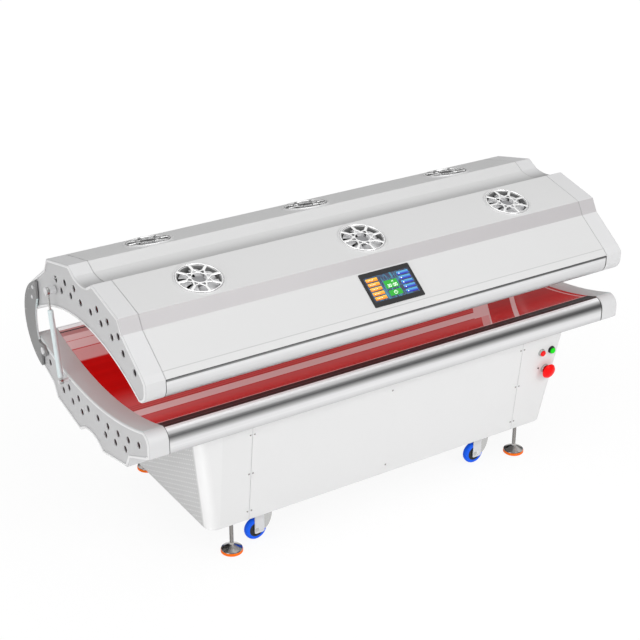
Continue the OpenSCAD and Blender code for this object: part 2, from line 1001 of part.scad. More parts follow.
module lower_light_boards() {
    r = bed_radius + board_depth;
    pitch = 2 * asin((lower_board_w + board_gap) / 2 / r);
    color([0.75, 0.02, 0.02])
        board_bays(lower_rib_x)
            translate([0, bed_centre_z])
                for (i = [-2 : 2])
                    rotate(i * pitch)
                        translate([-lower_board_w / 2, -r - board_t])
                            square([lower_board_w, board_t]);
}

module lower_pivot_pins() {
    color([0.82, 0.82, 0.84])
        mirror_pair() {
            pin([hinge_u, hinge_z], hinge_pin_r, arm_gap + arm_t + fit, 13, 4, arm_gap, 13);
            pin([strut_low_u, strut_low_z], stud_r, strut_offset + 6 + fit, 8, 4, strut_offset - 6 - fit, 8);
        }
}

// Pin on the left cap's face: a shank for a bore of radius r out to the reach, a head beyond
// it, a collar against the cap, and a screwed end inside the cap
module pin(p, r, reach, head_r, head_t, collar, collar_r) {
    along_x(-half_l - reach, -half_l)
        disc_at(p[0], p[1], r - run_fit);
    along_x(-half_l - reach - head_t, -half_l - reach)
        disc_at(p[0], p[1], head_r);
    along_x(-half_l - collar, -half_l)
        disc_at(p[0], p[1], collar_r);
    along_x(-half_l, -half_l + 24)
        disc_at(p[0], p[1], stud_r - run_fit);
}

// Base: controls

module at_controls() {
    on_front(red_x, button_z)
        children();
    on_front(green_x, button_z)
        children();
    on_front(estop_x, estop_z)
        children();
}

module bezel(r, h, bore_r) {
    difference() {
        union() {
            translate([0, 0, seat])
                cylinder(r = r, h = h - seat);
            translate([0, 0, -22])
                cylinder(r = collar_r, h = 23);
        }
        translate([0, 0, -18])
            cylinder(r = bore_r, h = 40);
    }
}

module control_bezels() {
    color([0.75, 0.75, 0.77]) {
        for (x = [red_x, green_x])
            on_front(x, button_z)
                difference() {
                    bezel(bezel_r, bezel_h, 7);
                    translate([0, 0, -button_travel])
                        cylinder(r = button_r + run_fit, h = 20);
                }
        on_front(estop_x, estop_z)
            bezel(19, 9, 7);
        on_front(lamp_x, lamp_z) {
            translate([0, 0, seat])
                cylinder(r = lamp_r, h = 1.2);
            translate([0, 0, -8])
                cylinder(r = lamp_shank_r, h = 8.5);
        }
    }
}

module push_button() {
    translate([0, 0, fit])
        cylinder(r = button_r, h = bezel_h + 2);
    translate([0, 0, -16 + button_travel])
        cylinder(r = 7 - run_fit, h = 16 - button_travel + 1);
}

module red_button() {
    color([0.85, 0.05, 0.08])
        on_front(red_x, button_z)
            push_button();
}

module green_button() {
    color([0.05, 0.80, 0.10])
        on_front(green_x, button_z)
            push_button();
}

module estop_head() {
    color([0.85, 0.03, 0.05])
        on_front(estop_x, estop_z) {
            translate([0, 0, -12])
                cylinder(r = 7 - run_fit, h = 27);
            translate([0, 0, 9 + estop_travel + fit])
                cylinder(r1 = 16, r2 = 22, h = 10);
            translate([0, 0, 19 + estop_travel + fit - eps])
                rotate_extrude($fn = 96)
                    intersection() {
                        translate([0, -26])
                            circle(r = 42);
                        translate([0, 0])
                            square([estop_d / 2, 18]);
                    }
        }
}

// Base: feet

module foot() {
    color([0.62, 0.62, 0.62])
        translate([0, 0, pad_h])
            rotate_extrude($fn = 96)
                polygon([
                    [0, 0], [foot_d / 2 - 2, 0], [foot_d / 2 - 1, 3], [20, 17], [12, 24],
                    [10, foot_neck_z - pad_h], [foot_screw_d / 2, foot_neck_z - pad_h + 3],
                    [foot_screw_d / 2, foot_screw_top - pad_h], [0, foot_screw_top - pad_h]
                ]);
    color([1.0, 0.45, 0.05])
        cylinder(d = foot_d, h = pad_h, $fn = 96);
}

module foot_at(sx, sy) {
    translate([sx * foot_x, shell_y + sy * tube_u, 0])
        foot();
}

module foot_front_left() foot_at(-1, -1);
module foot_front_right() foot_at(1, -1);
module foot_rear_left() foot_at(-1, 1);
module foot_rear_right() foot_at(1, 1);

// Base: castors

module castor_at(sx, sy) {
    translate([sx * castor_x, shell_y + sy * castor_u, 0])
        children();
}

module castor_plates() {
    color([0.80, 0.80, 0.82])
        for (sx = [-1, 1], sy = [-1, 1])
            castor_at(sx, sy) {
                translate([-plate_l / 2, -plate_w / 2, tube_z - plate_t])
                    cube([plate_l, plate_w, plate_t]);
                translate([0, 0, tube_z - plate_t - race_t])
                    difference() {
                        cylinder(r = race_r, h = race_t + eps);
                        translate([0, 0, -1])
                            cylinder(r = 6 + run_fit, h = race_t + 1);
                    }
            }
}

module castor_fork() {
    leg_u = wheel_w / 2 + fork_gap;
    color([0.80, 0.80, 0.82]) {
        translate([0, 0, crown_z + crown_t - eps])
            cylinder(r = 6, h = race_t + eps);
        difference() {
            union() {
                translate([-castor_trail - 4, -leg_u - fork_t, crown_z])
                    cube([castor_trail + 26, 2 * (leg_u + fork_t), crown_t]);
                for (s = [-1, 1])
                    translate([0, s * (leg_u + fork_t / 2) + fork_t / 2, 0])
                        rotate([90, 0, 0])
                            linear_extrude(height = fork_t)
                                fork_leg_2d();
                rotate([90, 0, 0])
                    linear_extrude(height = 2 * leg_u + 1, center = true)
                        fork_guard_2d();
            }
            translate([-castor_trail, 40, axle_z])
                rotate([90, 0, 0])
                    cylinder(r = axle_r + run_fit, h = 80);
        }
    }
}

module fork_leg_2d() {
    translate([-castor_trail, axle_z])
        circle(r = 14);
    polygon([
        [-castor_trail - 14, axle_z], [-castor_trail + 12, axle_z - 7], [10, axle_z + 36],
        [20, crown_z], [20, crown_z + crown_t], [-castor_trail - 4, crown_z + crown_t]
    ]);
}

// Curved guard behind the wheel, between the legs
module fork_guard_2d() {
    r = wheel_d / 2 + 4;
    translate([-castor_trail, axle_z])
        difference() {
            intersection() {
                circle(r = r + 2.5, $fn = 96);
                polygon([[0, 0], [90, 4], [90, 90], [46, 90]]);
            }
            circle(r = r, $fn = 96);
        }
}

module castor_wheel() {
    w = wheel_w / 2;
    r = wheel_d / 2;
    translate([-castor_trail, 0, axle_z])
        rotate([90, 0, 0]) {
            color([0.12, 0.35, 0.95])
                rotate_extrude($fn = 96)
                    polygon([
                        [r * 0.66, -w], [r - 7, -w], [r - 2, -w + 4], [r, 0],
                        [r - 2, w - 4], [r - 7, w], [r * 0.66, w]
                    ]);
            color([0.08, 0.08, 0.08])
                rotate_extrude($fn = 96)
                    polygon([[0, -w], [r * 0.66, -w], [r * 0.66, w], [0, w]]);
            color("silver")
                translate([0, 0, -w - fork_gap - fork_t - 2])
                    cylinder(r = axle_r, h = 2 * (w + fork_gap + fork_t + 2));
        }
}

module castor_fork_front_left() castor_at(-1, -1) castor_fork();
module castor_fork_front_right() castor_at(1, -1) castor_fork();
module castor_fork_rear_left() castor_at(-1, 1) castor_fork();
module castor_fork_rear_right() castor_at(1, 1) castor_fork();
module castor_wheel_front_left() castor_at(-1, -1) castor_wheel();
module castor_wheel_front_right() castor_at(1, -1) castor_wheel();
module castor_wheel_rear_left() castor_at(-1, 1) castor_wheel();
module castor_wheel_rear_right() castor_at(1, 1) castor_wheel();

// Canopy

// Puts what is drawn upwards onto a fan's panel, standing out of it
module on_fan(x, side) {
    translate([x, shell_y + side * fan_u, fan_z])
        rotate([-side * fan_tilt, 0, 0])
            children();
}

module at_fans() {
    for (x = [-fan_x, 0, fan_x], side = [-1, 1])
        on_fan(x, side)
            children();
}

module on_display() {
    translate([0, shell_y - display_u, display_z])
        rotate([display_tilt, 0, 0])
            children();
}

module canopy_shell() {
    color([0.87, 0.87, 0.87])
        difference() {
            union() {
                along_x(-inner_l + seam_gap, inner_l - seam_gap)
                    canopy_skin_2d();
                at_fans()
                    fan_bead();
            }
            at_fans()
                translate([0, 0, -8])
                    cylinder(d = fan_d, h = 16);
            on_display()
                translate([-display_w / 2 + 6, -display_h / 2 + 6, -8])
                    cube([display_w - 12, display_h - 12, 16]);
        }
}

// Raised bead round the fan's opening, which the grille lies in
module fan_bead() {
    r = grille_r + 0.5;
    translate([0, 0, -skin_t / 2])
        difference() {
            cylinder(r = r + 6, h = skin_t / 2 + fan_bead_h, $fn = 128);
            translate([0, 0, -1])
                cylinder(r = r, h = skin_t + fan_bead_h + 2, $fn = 128);
        }
}

// Outline of the canopy cap, drawn in by the distance d
module canopy_inset_2d(d) {
    half = concat(canopy_half, [[canopy_face_u, canopy_nose_z]]);
    line = shifted(notched(half, ridge_z - valley_peak), -d);
    difference() {
        union() {
            polygon(line);
            valley_floor_2d(canopy_cove_z, cove_r + d, -1);
            translate([-canopy_tip_u, canopy_tip_z])
                square([2 * canopy_tip_u, canopy_rail_r]);
            mirror_pair()
                canopy_nose_2d(-d);
        }
        disc_at(0, canopy_centre_z, canopy_radius + d);
    }
}

arm_bolts = [[408, 832], [420, 790]];

module canopy_cap() {
    difference() {
        along_x(-half_l, -inner_l)
            canopy_outline_2d();
        along_x(-half_l - 1, -half_l + rim_h)
            canopy_inset_2d(rim_w);
        along_x(-half_l + rim_h + cap_wall, -inner_l + 1)
            canopy_inset_2d(cap_wall);
        along_x(-half_l - 1, -half_l + rim_h + cap_wall + 1)
            canopy_vents_2d();
    }
}

canopy_pins = concat([[strut_top_u, strut_top_z]], arm_bolts);

module canopy_cap_left() {
    color([0.80, 0.80, 0.80])
        with_bosses(canopy_pins, 14)
            canopy_cap();
}

module canopy_cap_right() {
    color([0.80, 0.80, 0.80])
        mirror([1, 0, 0])
            with_bosses(canopy_pins, 14)
                canopy_cap();
}

module canopy_rail_2d() {
    wall_u = canopy_tip_u - 6;
    difference() {
        union() {
            canopy_nose_2d(0);
            translate([wall_u, canopy_nose_z])
                square([canopy_face_u - wall_u, canopy_rail_top - canopy_nose_z - rail_edge_r]);
            translate([wall_u, canopy_nose_z])
                square([canopy_face_u - wall_u - rail_edge_r, canopy_rail_top - canopy_nose_z]);
            disc_at(canopy_face_u - rail_edge_r, canopy_rail_top - rail_edge_r, rail_edge_r);
            translate([wall_u, canopy_tip_z])
                square([canopy_tip_u - wall_u, canopy_rail_r]);
        }
        canopy_nose_2d(-rail_wall);
        translate([wall_u + rail_wall, canopy_nose_z])
            square([canopy_face_u - wall_u - 2 * rail_wall,
                    canopy_rail_top - canopy_nose_z - rail_edge_r - rail_wall / 2]);
        translate([wall_u + rail_wall, canopy_tip_z + 2 * rail_wall])
            square([canopy_tip_u - wall_u - rail_wall, canopy_rail_r - 2 * rail_wall]);
        disc_at(0, canopy_centre_z, canopy_radius + 0.5);
    }
    arc_band(canopy_centre_z, canopy_radius + 0.5, canopy_radius + rail_wall,
             wall_u - lip_w, wall_u + 1, canopy_centre_z, ridge_z);
}

module canopy_rails() {
    color([0.78, 0.78, 0.80])
        along_x(-inner_l + seam_gap, inner_l - seam_gap)
            mirror_pair()
                canopy_rail_2d();
}

module canopy_sheet() {
    edge_u = canopy_tip_u - 6 - fit;
    r0 = canopy_radius + rail_wall + fit;
    color([0.85, 0.25, 0.25, 0.4])
        along_x(-inner_l + seam_gap, inner_l - seam_gap)
            arc_band(canopy_centre_z, r0, r0 + canopy_sheet_t, -edge_u, edge_u, canopy_centre_z, ridge_z);
}

module canopy_seals() {
    outer_u = canopy_tip_u - 6 - lip_w - fit;
    color([0.08, 0.08, 0.08])
        along_x(-inner_l + seam_gap, inner_l - seam_gap)
            mirror_pair()
                arc_band(canopy_centre_z, canopy_radius, canopy_radius + rail_wall,
                         outer_u - 6, outer_u, canopy_centre_z, ridge_z);
}

module canopy_ribs() {
    color([0.93, 0.88, 0.88])
        for (x = canopy_rib_x)
            along_x(x - rib_half_t, x + rib_half_t)
                difference() {
                    canopy_inside_2d(fit, rail_wall + canopy_sheet_t + 2 * fit);
                    for (u = [-160, 0, 160])
                        translate([u, ridge_z - 85])
                            circle(r = 26);
                }
}

module canopy_light_boards() {
    r = canopy_radius + board_depth;
    pitch = 2 * asin((canopy_board_w + board_gap) / 2 / r);
    color([0.75, 0.02, 0.02])
        board_bays(canopy_rib_x)
            translate([0, canopy_centre_z])
                for (i = [-2 : 2])
                    rotate(i * pitch)
                        translate([-canopy_board_w / 2, r])
                            square([canopy_board_w, board_t]);
}

display_proud = 3;

module display_frame() {
    color([0.06, 0.06, 0.06])
        on_display()
            difference() {
                union() {
                    translate([-display_w / 2, -display_h / 2, seat])
                        cube([display_w, display_h, display_proud - seat]);
                    translate([-display_w / 2 + 6 + fit, -display_h / 2 + 6 + fit, -24])
                        cube([display_w - 12 - 2 * fit, display_h - 12 - 2 * fit, 25]);
                }
                translate([-screen_w / 2, -screen_h / 2, display_proud - 2])
                    cube([screen_w, screen_h, 10]);
            }
}

module display_screen() {
    color([0.05, 0.15, 0.35])
        on_display()
            translate([-screen_w / 2 + fit, -screen_h / 2 + fit, display_proud - 2])
                cube([screen_w - 2 * fit, screen_h - 2 * fit, 1.4]);
}

module fan_frames() {
    color([0.12, 0.12, 0.13])
        at_fans()
            translate([0, 0, -skin_t - seat - fan_depth])
                difference() {
                    translate([-fan_frame_w / 2, -fan_frame_w / 2, 0])
                        cube([fan_frame_w, fan_frame_w, fan_depth]);
                    translate([0, 0, 6])
                        cylinder(r = fan_d / 2 - 2, h = fan_depth);
                    difference() {
                        translate([0, 0, -1])
                            cylinder(r = fan_d / 2 - 2, h = 8);
                        translate([0, 0, -2])
                            cylinder(r = fan_hub_r, h = 10);
                        for (a = [0, 90])
                            rotate(a)
                                translate([-fan_d / 2, -4, -2])
                                    cube([fan_d, 8, 10]);
                    }
                    translate([0, 0, -3])
                        cylinder(r = fan_shaft_r + run_fit, h = 12);
                }
}

// Cambered blade: a strip of a thin tube that lies along the radius
module fan_blade() {
    camber_r = 26;
    blade_t = 2;
    tip_r = fan_d / 2 - 6;
    intersection() {
        translate([0, 0, 19 - camber_r * 0.9])
            rotate([28, 0, 0])
                rotate([0, 90, 0])
                    difference() {
                        cylinder(r = camber_r, h = tip_r + 4);
                        translate([0, 0, -1])
                            cylinder(r = camber_r - blade_t, h = tip_r + 6);
                    }
        translate([fan_hub_r - 3, -23, 8])
            cube([tip_r, 40, 22]);
        cylinder(r = tip_r, h = fan_depth);
    }
}

module fan_rotor(x, side) {
    color([0.20, 0.20, 0.21])
        on_fan(x, side)
            translate([0, 0, -skin_t - seat - fan_depth]) {
                translate([0, 0, 0.5])
                    cylinder(r = fan_shaft_r, h = 8);
                translate([0, 0, 7])
                    cylinder(r = fan_hub_r, h = 24);
                for (i = [0 : fan_blades - 1])
                    rotate(i * 360 / fan_blades)
                        fan_blade();
            }
}

module fan_rotor_front_left() fan_rotor(-fan_x, -1);
module fan_rotor_front_middle() fan_rotor(0, -1);
module fan_rotor_front_right() fan_rotor(fan_x, -1);
module fan_rotor_rear_left() fan_rotor(-fan_x, 1);
module fan_rotor_rear_middle() fan_rotor(0, 1);
module fan_rotor_rear_right() fan_rotor(fan_x, 1);

// Grille: a rim, and spokes that fork into a star round the hub
module grille_2d() {
    rim_in = grille_r - fan_ring;
    half_step = 180 / grille_spokes;
    difference() {
        circle(r = grille_r, $fn = 128);
        circle(r = rim_in, $fn = 128);
    }
    for (i = [0 : grille_spokes - 1]) {
        a = 2 * i * half_step;
        fork = grille_fork_r * [cos(a), sin(a)];
        rotate(a)
            translate([grille_fork_r - 3, -grille_bar / 2])
                square([rim_in - grille_fork_r + 5, grille_bar]);
        for (s = [-1, 1])
            bar_2d(fork, grille_hub_r * [cos(a + s * half_step), sin(a + s * half_step)], grille_leg);
        rotate(a + half_step)
            translate([grille_hub_r, 0])
                circle(r = grille_leg * 0.7);
    }
}

module bar_2d(p, q, w) {
    n = edge_normal(p, q) * w / 2;
    polygon([p + n, q + n, q - n, p - n]);
}

module fan_grilles() {
    color([0.88, 0.88, 0.90])
        at_fans()
            translate([0, 0, seat])
                linear_extrude(height = grille_t)
                    grille_2d();
}

// Hinge arms and pins

module arm_2d() {
    edge_u = 384;
    difference() {
        union() {
            intersection() {
                disc_at(arm_outer_u, arm_z, arm_outer_r);
                translate([edge_u, 400])
                    square([300, 600]);
            }
            disc_at(hinge_u, hinge_z, 22);
            translate([hinge_u, hinge_z - 22])
                square([edge_u - hinge_u + 6, 44]);
        }
        difference() {
            disc_at(arm_inner_u, arm_z, arm_inner_r);
            disc_at(hinge_u, hinge_z, 22);
            translate([hinge_u, hinge_z - 22])
                square([50, 44]);
        }
        disc_at(hinge_u, hinge_z, hinge_pin_r);
        for (p = arm_bolts)
            disc_at(p[0], p[1], stud_r + fit);
    }
}

module hinge_arms() {
    color([0.45, 0.45, 0.46])
        mirror_pair()
            along_x(-half_l - arm_gap - arm_t, -half_l - arm_gap)
                arm_2d();
}

module upper_pivot_pins() {
    color([0.82, 0.82, 0.84])
        mirror_pair() {
            pin([strut_top_u, strut_top_z], stud_r, strut_offset + 5 + fit, 14, 3, strut_offset - 5 - fit, 14);
            for (p = arm_bolts)
                pin(p, stud_r, arm_gap + arm_t, 7, 3, arm_gap, 12);
        }
}

// Gas springs, drawn upright from the lower stud and leaned onto their line

module on_strut(side) {
    translate([side * strut_x, shell_y + strut_low_u, strut_low_z])
        rotate([-strut_tilt, 0, 0])
            children();
}

module eye(outer_r, bore_r, w) {
    rotate([0, 90, 0])
        difference() {
            cylinder(r = outer_r, h = w, center = true);
            cylinder(r = bore_r, h = w + 2, center = true);
        }
}

module strut_cylinder(side) {
    top = strut_len - strut_body_end;
    color([0.93, 0.93, 0.93])
        on_strut(side) {
            difference() {
                union() {
                    rotate([0, 90, 0])
                        cylinder(r = 10, h = 12, center = true);
                    translate([0, 0, 6])
                        cylinder(r = 6, h = strut_body_start - 5);
                }
                rotate([0, 90, 0])
                    cylinder(r = stud_r, h = 20, center = true);
            }
            translate([0, 0, strut_body_start])
                difference() {
                    cylinder(r = strut_r, h = top - strut_body_start);
                    translate([0, 0, 8])
                        cylinder(r = strut_bore_r, h = top - strut_body_start - gland_l - 8);
                    translate([0, 0, 7])
                        cylinder(r = rod_r + run_fit, h = top);
                }
        }
}

module strut_rod(side) {
    piston_z = strut_len - strut_body_end - gland_l - piston_l - stroke - 6;
    color([0.75, 0.75, 0.78])
        on_strut(side) {
            translate([0, 0, piston_z])
                cylinder(r = rod_r, h = strut_len - 12 - piston_z);
            translate([0, 0, piston_z])
                cylinder(r = strut_bore_r - 0.08, h = piston_l);
            translate([0, 0, strut_len])
                eye(stud_r + stud_top_play + 4, stud_r + stud_top_play, 10);
        }
}

module strut_cylinder_left() strut_cylinder(-1);
module strut_cylinder_right() strut_cylinder(1);
module strut_rod_left() strut_rod(-1);
module strut_rod_right() strut_rod(1);

base_frame();
cabinet_front();
cabinet_rear();
cabinet_end_left();
cabinet_end_right();
lower_shell();
lower_cap_left();
lower_cap_right();
lower_rails();
bed_sheet();
bed_seals();
lower_light_boards();
lower_ribs();
lower_pivot_pins();
power_supplies();
control_bezels();
cabinet_screws();
mains_inlet();
castor_plates();
canopy_shell();
canopy_cap_left();
canopy_cap_right();
canopy_rails();
canopy_sheet();
canopy_seals();
canopy_light_boards();
canopy_ribs();
display_frame();
display_screen();
fan_frames();
fan_grilles();
hinge_arms();
upper_pivot_pins();
fan_rotor_front_left();
fan_rotor_front_middle();
fan_rotor_front_right();
fan_rotor_rear_left();
fan_rotor_rear_middle();
fan_rotor_rear_right();
strut_cylinder_left();
strut_cylinder_right();
strut_rod_left();
strut_rod_right();
red_button();
green_button();
estop_head();
foot_front_left();
foot_front_right();
foot_rear_left();
foot_rear_right();
castor_fork_front_left();
castor_fork_front_right();
castor_fork_rear_left();
castor_fork_rear_right();
castor_wheel_front_left();
castor_wheel_front_right();
castor_wheel_rear_left();
castor_wheel_rear_right();
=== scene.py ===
"""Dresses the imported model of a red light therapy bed: its finishes, its finer shapes and the studio."""

import math

import bmesh
import bpy
from bpy.props import FloatProperty, FloatVectorProperty, IntProperty, PointerProperty
from bpy.types import Operator, Panel, PropertyGroup
from mathutils import Matrix, Vector


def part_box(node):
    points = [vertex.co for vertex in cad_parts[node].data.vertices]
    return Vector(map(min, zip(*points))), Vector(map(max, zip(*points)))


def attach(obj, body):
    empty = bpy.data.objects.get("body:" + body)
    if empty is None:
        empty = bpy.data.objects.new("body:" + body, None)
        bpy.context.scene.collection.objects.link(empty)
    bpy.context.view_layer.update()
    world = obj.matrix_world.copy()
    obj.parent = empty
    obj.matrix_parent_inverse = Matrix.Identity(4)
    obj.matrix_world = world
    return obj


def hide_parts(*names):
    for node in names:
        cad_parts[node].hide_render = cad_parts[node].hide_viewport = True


bl_info = {
    "name": "Red Light Therapy Bed",
    "version": (1, 0, 0),
    "blender": (4, 5, 0),
    "location": "View3D > Sidebar > Light Bed",
    "description": "Finishes and finer shapes of a red light therapy bed, with its studio",
    "category": "Add Mesh",
}

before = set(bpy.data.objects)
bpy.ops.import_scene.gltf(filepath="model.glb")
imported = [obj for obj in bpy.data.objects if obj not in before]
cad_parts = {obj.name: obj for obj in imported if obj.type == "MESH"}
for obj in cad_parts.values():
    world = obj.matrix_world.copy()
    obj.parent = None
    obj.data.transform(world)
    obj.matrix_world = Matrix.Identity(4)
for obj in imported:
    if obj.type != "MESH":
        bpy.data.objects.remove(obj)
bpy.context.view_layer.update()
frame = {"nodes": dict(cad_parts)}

SIDES = (-1, 1)
ENDS = {"left": -1, "right": 1}
FACES = {"front": -1, "rear": 1}
CORNERS = ["%s_%s" % (face, end) for face in FACES for end in ENDS]


def middle(node):
    """Centre of a CAD node's box."""
    low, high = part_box(node)
    return (low + high) / 2


CANOPY_LOW, CANOPY_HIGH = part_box("canopy_shell")
CANOPY_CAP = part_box("canopy_cap_right")
LOWER_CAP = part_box("lower_cap_right")
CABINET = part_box("cabinet_front")
MIDDLE_Y = middle("canopy_cap_right").y
SKIN = 0.002  # thickness of the folded skins


# Sizes and colours that a user would change


def length(name, default, description):
    """A length in metres."""
    return FloatProperty(name=name, description=description, default=default, unit="LENGTH", precision=4)


def paint(name, default, description):
    """A colour, given as the eye sees it and kept as Blender mixes it."""
    return FloatVectorProperty(
        name=name, description=description, default=[linear(c) for c in default], subtype="COLOR", size=3,
        min=0, max=1)


def linear(value):
    """A screen value from 0 to 1 as a linear one."""
    return value / 12.92 if value <= 0.04045 else ((value + 0.055) / 1.055) ** 2.4


def number(name, default, description, **more):
    """A plain number, or an angle where more says so."""
    return FloatProperty(name=name, description=description, default=default, **more)


def place_across(name, default, description):
    """A place across the bed: how far behind the middle line, and how high."""
    return FloatVectorProperty(name=name, description=description, size=2, default=default, unit="LENGTH")


class CanopySizes(PropertyGroup):
    """Sizes of the canopy's skin and its end caps."""

    valley_half: length("Valley half width", 0.050, "From the middle line to the foot of a ridge")
    valley_cove: length("Valley depth", 0.007, "How far the valley's round floor sinks")
    ridge_run: length("Ridge run", 0.044, "Width of a ridge's inner slope")
    ridge_rise: length("Ridge rise", 0.025, "Height of a ridge over the valley")
    shoulder: length("Shoulder inset", 0.179, "From the shoulder to the canopy's front face")
    shoulder_drop: length("Shoulder drop", 0.045, "Fall of the fan panel")
    step_run: length("Step run", 0.027, "Width of the step band")
    step_drop: length("Step drop", 0.048, "Height of the step band")
    fold_run: length("Fold run", 0.021, "Width of the fold over the rail")
    fold_rise: length("Fold rise", 0.020, "Height of the fold over the rail")
    tunnel_radius: length("Tunnel radius", 0.834, "Radius of the canopy's inner arch")
    nose_radius: length("Nose radius", 0.052, "Radius of the canopy rail")
    crease: length("Crease radius", 0.0035, "Rounding of the folded creases")


class LowerSizes(PropertyGroup):
    """Sizes of the lower bed's skin and its end caps."""

    bed_radius: length("Bed radius", 1.355, "Radius of the lying surface")
    nose_radius: length("Nose radius", 0.042, "Radius of the lower rail")
    corner: length("Lower corner", 0.012, "Rounding under the lower rail")
    sheet: length("Sheet thickness", 0.008, "Thickness of the lying sheet")


class TrimSizes(PropertyGroup):
    """Sizes of rims, holes, grilles and other trim."""

    cap_edge: length("Cap edge", 0.0055, "Rounding of a cap's outer edge")
    rim_width: length("Rim width", 0.010, "Width of the raised rim round a cap's face")
    rim_depth: length("Rim depth", 0.004, "How far a cap's face lies behind its rim")
    vent: length("Vent diameter", 0.025, "Diameter of a vent hole in a cap")
    vent_pitch: length("Vent pitch", 0.080, "Distance between vent holes")
    fan_ring: length("Fan ring radius", 0.082, "Outer radius of a fan grille")
    spokes: IntProperty(name="Grille spokes", description="Spokes of a fan grille", default=8, min=4, max=16)
    blades: IntProperty(name="Fan blades", description="Blades of a fan", default=7, min=3, max=13)
    perforation: length("Perforation pitch", 0.015, "Distance between the columns of holes in a cabinet end")
    row_pitch: length("Row pitch", 0.020, "Height from one hole of a column to the next")
    bead: length("Bead height", 0.0036, "Height of the bead round a fan")
    lamp_pitch: length("Lamp pitch", 0.020, "Distance between the lamps of a board")
    display_width: length("Display width", 0.210, "Width of the display's frame")
    display_height: length("Display height", 0.138, "Height of the display's frame")
    screen_width: length("Screen width", 0.188, "Width of the lit screen")
    screen_height: length("Screen height", 0.100, "Height of the lit screen")
    display_proud: length("Display frame", 0.003, "How far the display's frame stands out")


class CabinetSizes(PropertyGroup):
    """Sizes of the sheet metal cabinet and of what is fixed to it."""

    half_length: length("Half length", 0.745, "Half length at the lower edge")
    half_depth: length("Half depth", 0.369, "Half depth at the lower edge")
    end_lean: number("End lean", 0.14, "Run over rise of the ends", min=0)
    front_lean: number("Front lean", 0.111, "Run over rise of the front", min=0)
    corner: length("Corner radius", 0.042, "Radius of the upright corners")
    seam: length("Seam", 0.587, "From the middle to a panel seam")
    flange: length("Flange", 0.024, "Width of the folded lower edge")
    screw: length("Screw head", 0.0035, "Radius of a screw's head")


class HingeSizes(PropertyGroup):
    """Sizes of the hinge arms and the gas springs."""

    pivot: place_across("Pivot", (0.362, 0.598), "Hinge, behind the middle line and up")
    low_stud: place_across("Low stud", (0.162, 0.567), "Lower stud of a gas spring")
    top_stud: place_across("Top stud", (0.221, 0.893), "Upper stud of a gas spring")
    boss: length("Hinge boss", 0.022, "Radius of the arm round its pivot")
    tube: length("Tube radius", 0.010, "Radius of a gas spring's tube")
    rod: length("Rod radius", 0.004, "Radius of a gas spring's rod")


class Colours(PropertyGroup):
    """Colours of the finishes."""

    shell: paint("Shell", (0.865, 0.865, 0.865), "Painted skin of the canopy and the lower bed")
    # The step band's colour is painted shade: darker than the shell, where the canopy steps down towards the
    # front.
    band: paint("Step band", (0.752, 0.740, 0.746), "Painted step band of the canopy")
    cap: paint("Caps", (0.870, 0.870, 0.873), "Moulded end caps")
    cabinet: paint("Cabinet", (0.920, 0.920, 0.920), "Powder coated cabinet")
    frame: paint("Frame", (0.700, 0.705, 0.710), "Painted frame under the cabinet")
    rail: paint("Rails", (0.930, 0.930, 0.934), "Brushed aluminium rails")
    steel: paint("Steel", (0.780, 0.780, 0.775), "Plated and stainless steel")
    dark_steel: paint("Dark steel", (0.720, 0.710, 0.700), "Feet and screws")
    red: paint("Clear red", (0.800, 0.010, 0.010), "Red lying sheet")
    # Blush paints the pale marks in the red sheet: partly the boards and ribs seen through it, partly painted
    # reflection.
    blush: paint("Blush", (0.900, 0.680, 0.680), "Pale bands seen through the red sheet")
    arm: paint("Arms", (0.560, 0.560, 0.560), "Textured paint of the hinge arms")
    strut: paint("Struts", (0.900, 0.955, 0.960), "Painted gas springs")
    black: paint("Black", (0.060, 0.060, 0.062), "Black plastic and rubber")
    tyre: paint("Tyre", (0.080, 0.360, 0.900), "Castor tyres")
    pad: paint("Foot pad", (0.950, 0.430, 0.060), "Rubber under the feet")
    stop: paint("Stop button", (0.900, 0.004, 0.010), "Emergency stop and the red button")
    start: paint("Start button", (0.008, 0.820, 0.025), "Green button")
    green: paint("Green fields", (0.130, 0.620, 0.160), "Fields in the middle of the display")


class Studio(PropertyGroup):
    """Camera, floor and lamps."""

    lens: number("Lens", 82.5, "Focal length in millimetres", min=10)
    turn: number("Turn", math.radians(-32.521), "Camera's angle round the bed", subtype="ANGLE")
    tip: number("Tip", math.radians(25.642), "Camera's angle under the horizon", subtype="ANGLE")
    place: FloatVectorProperty(name="Camera place", description="Where the camera stands",
                               default=(-2.7046, -4.1775, 2.9854), subtype="TRANSLATION", size=3)
    key_power: number("Key power", 78, "Watts of the main lamp", min=0)
    sky: number("Sky", 0.52, "Strength of the light from all round", min=0)


GROUPS = {
    "bed_canopy": CanopySizes,
    "bed_lower": LowerSizes,
    "bed_trim": TrimSizes,
    "bed_cabinet": CabinetSizes,
    "bed_hinge": HingeSizes,
    "bed_colours": Colours,
    "bed_studio": Studio,
}


def settings(group):
    """One group of the scene's sizes or colours."""
    return getattr(bpy.context.scene, group)


# Shader maths


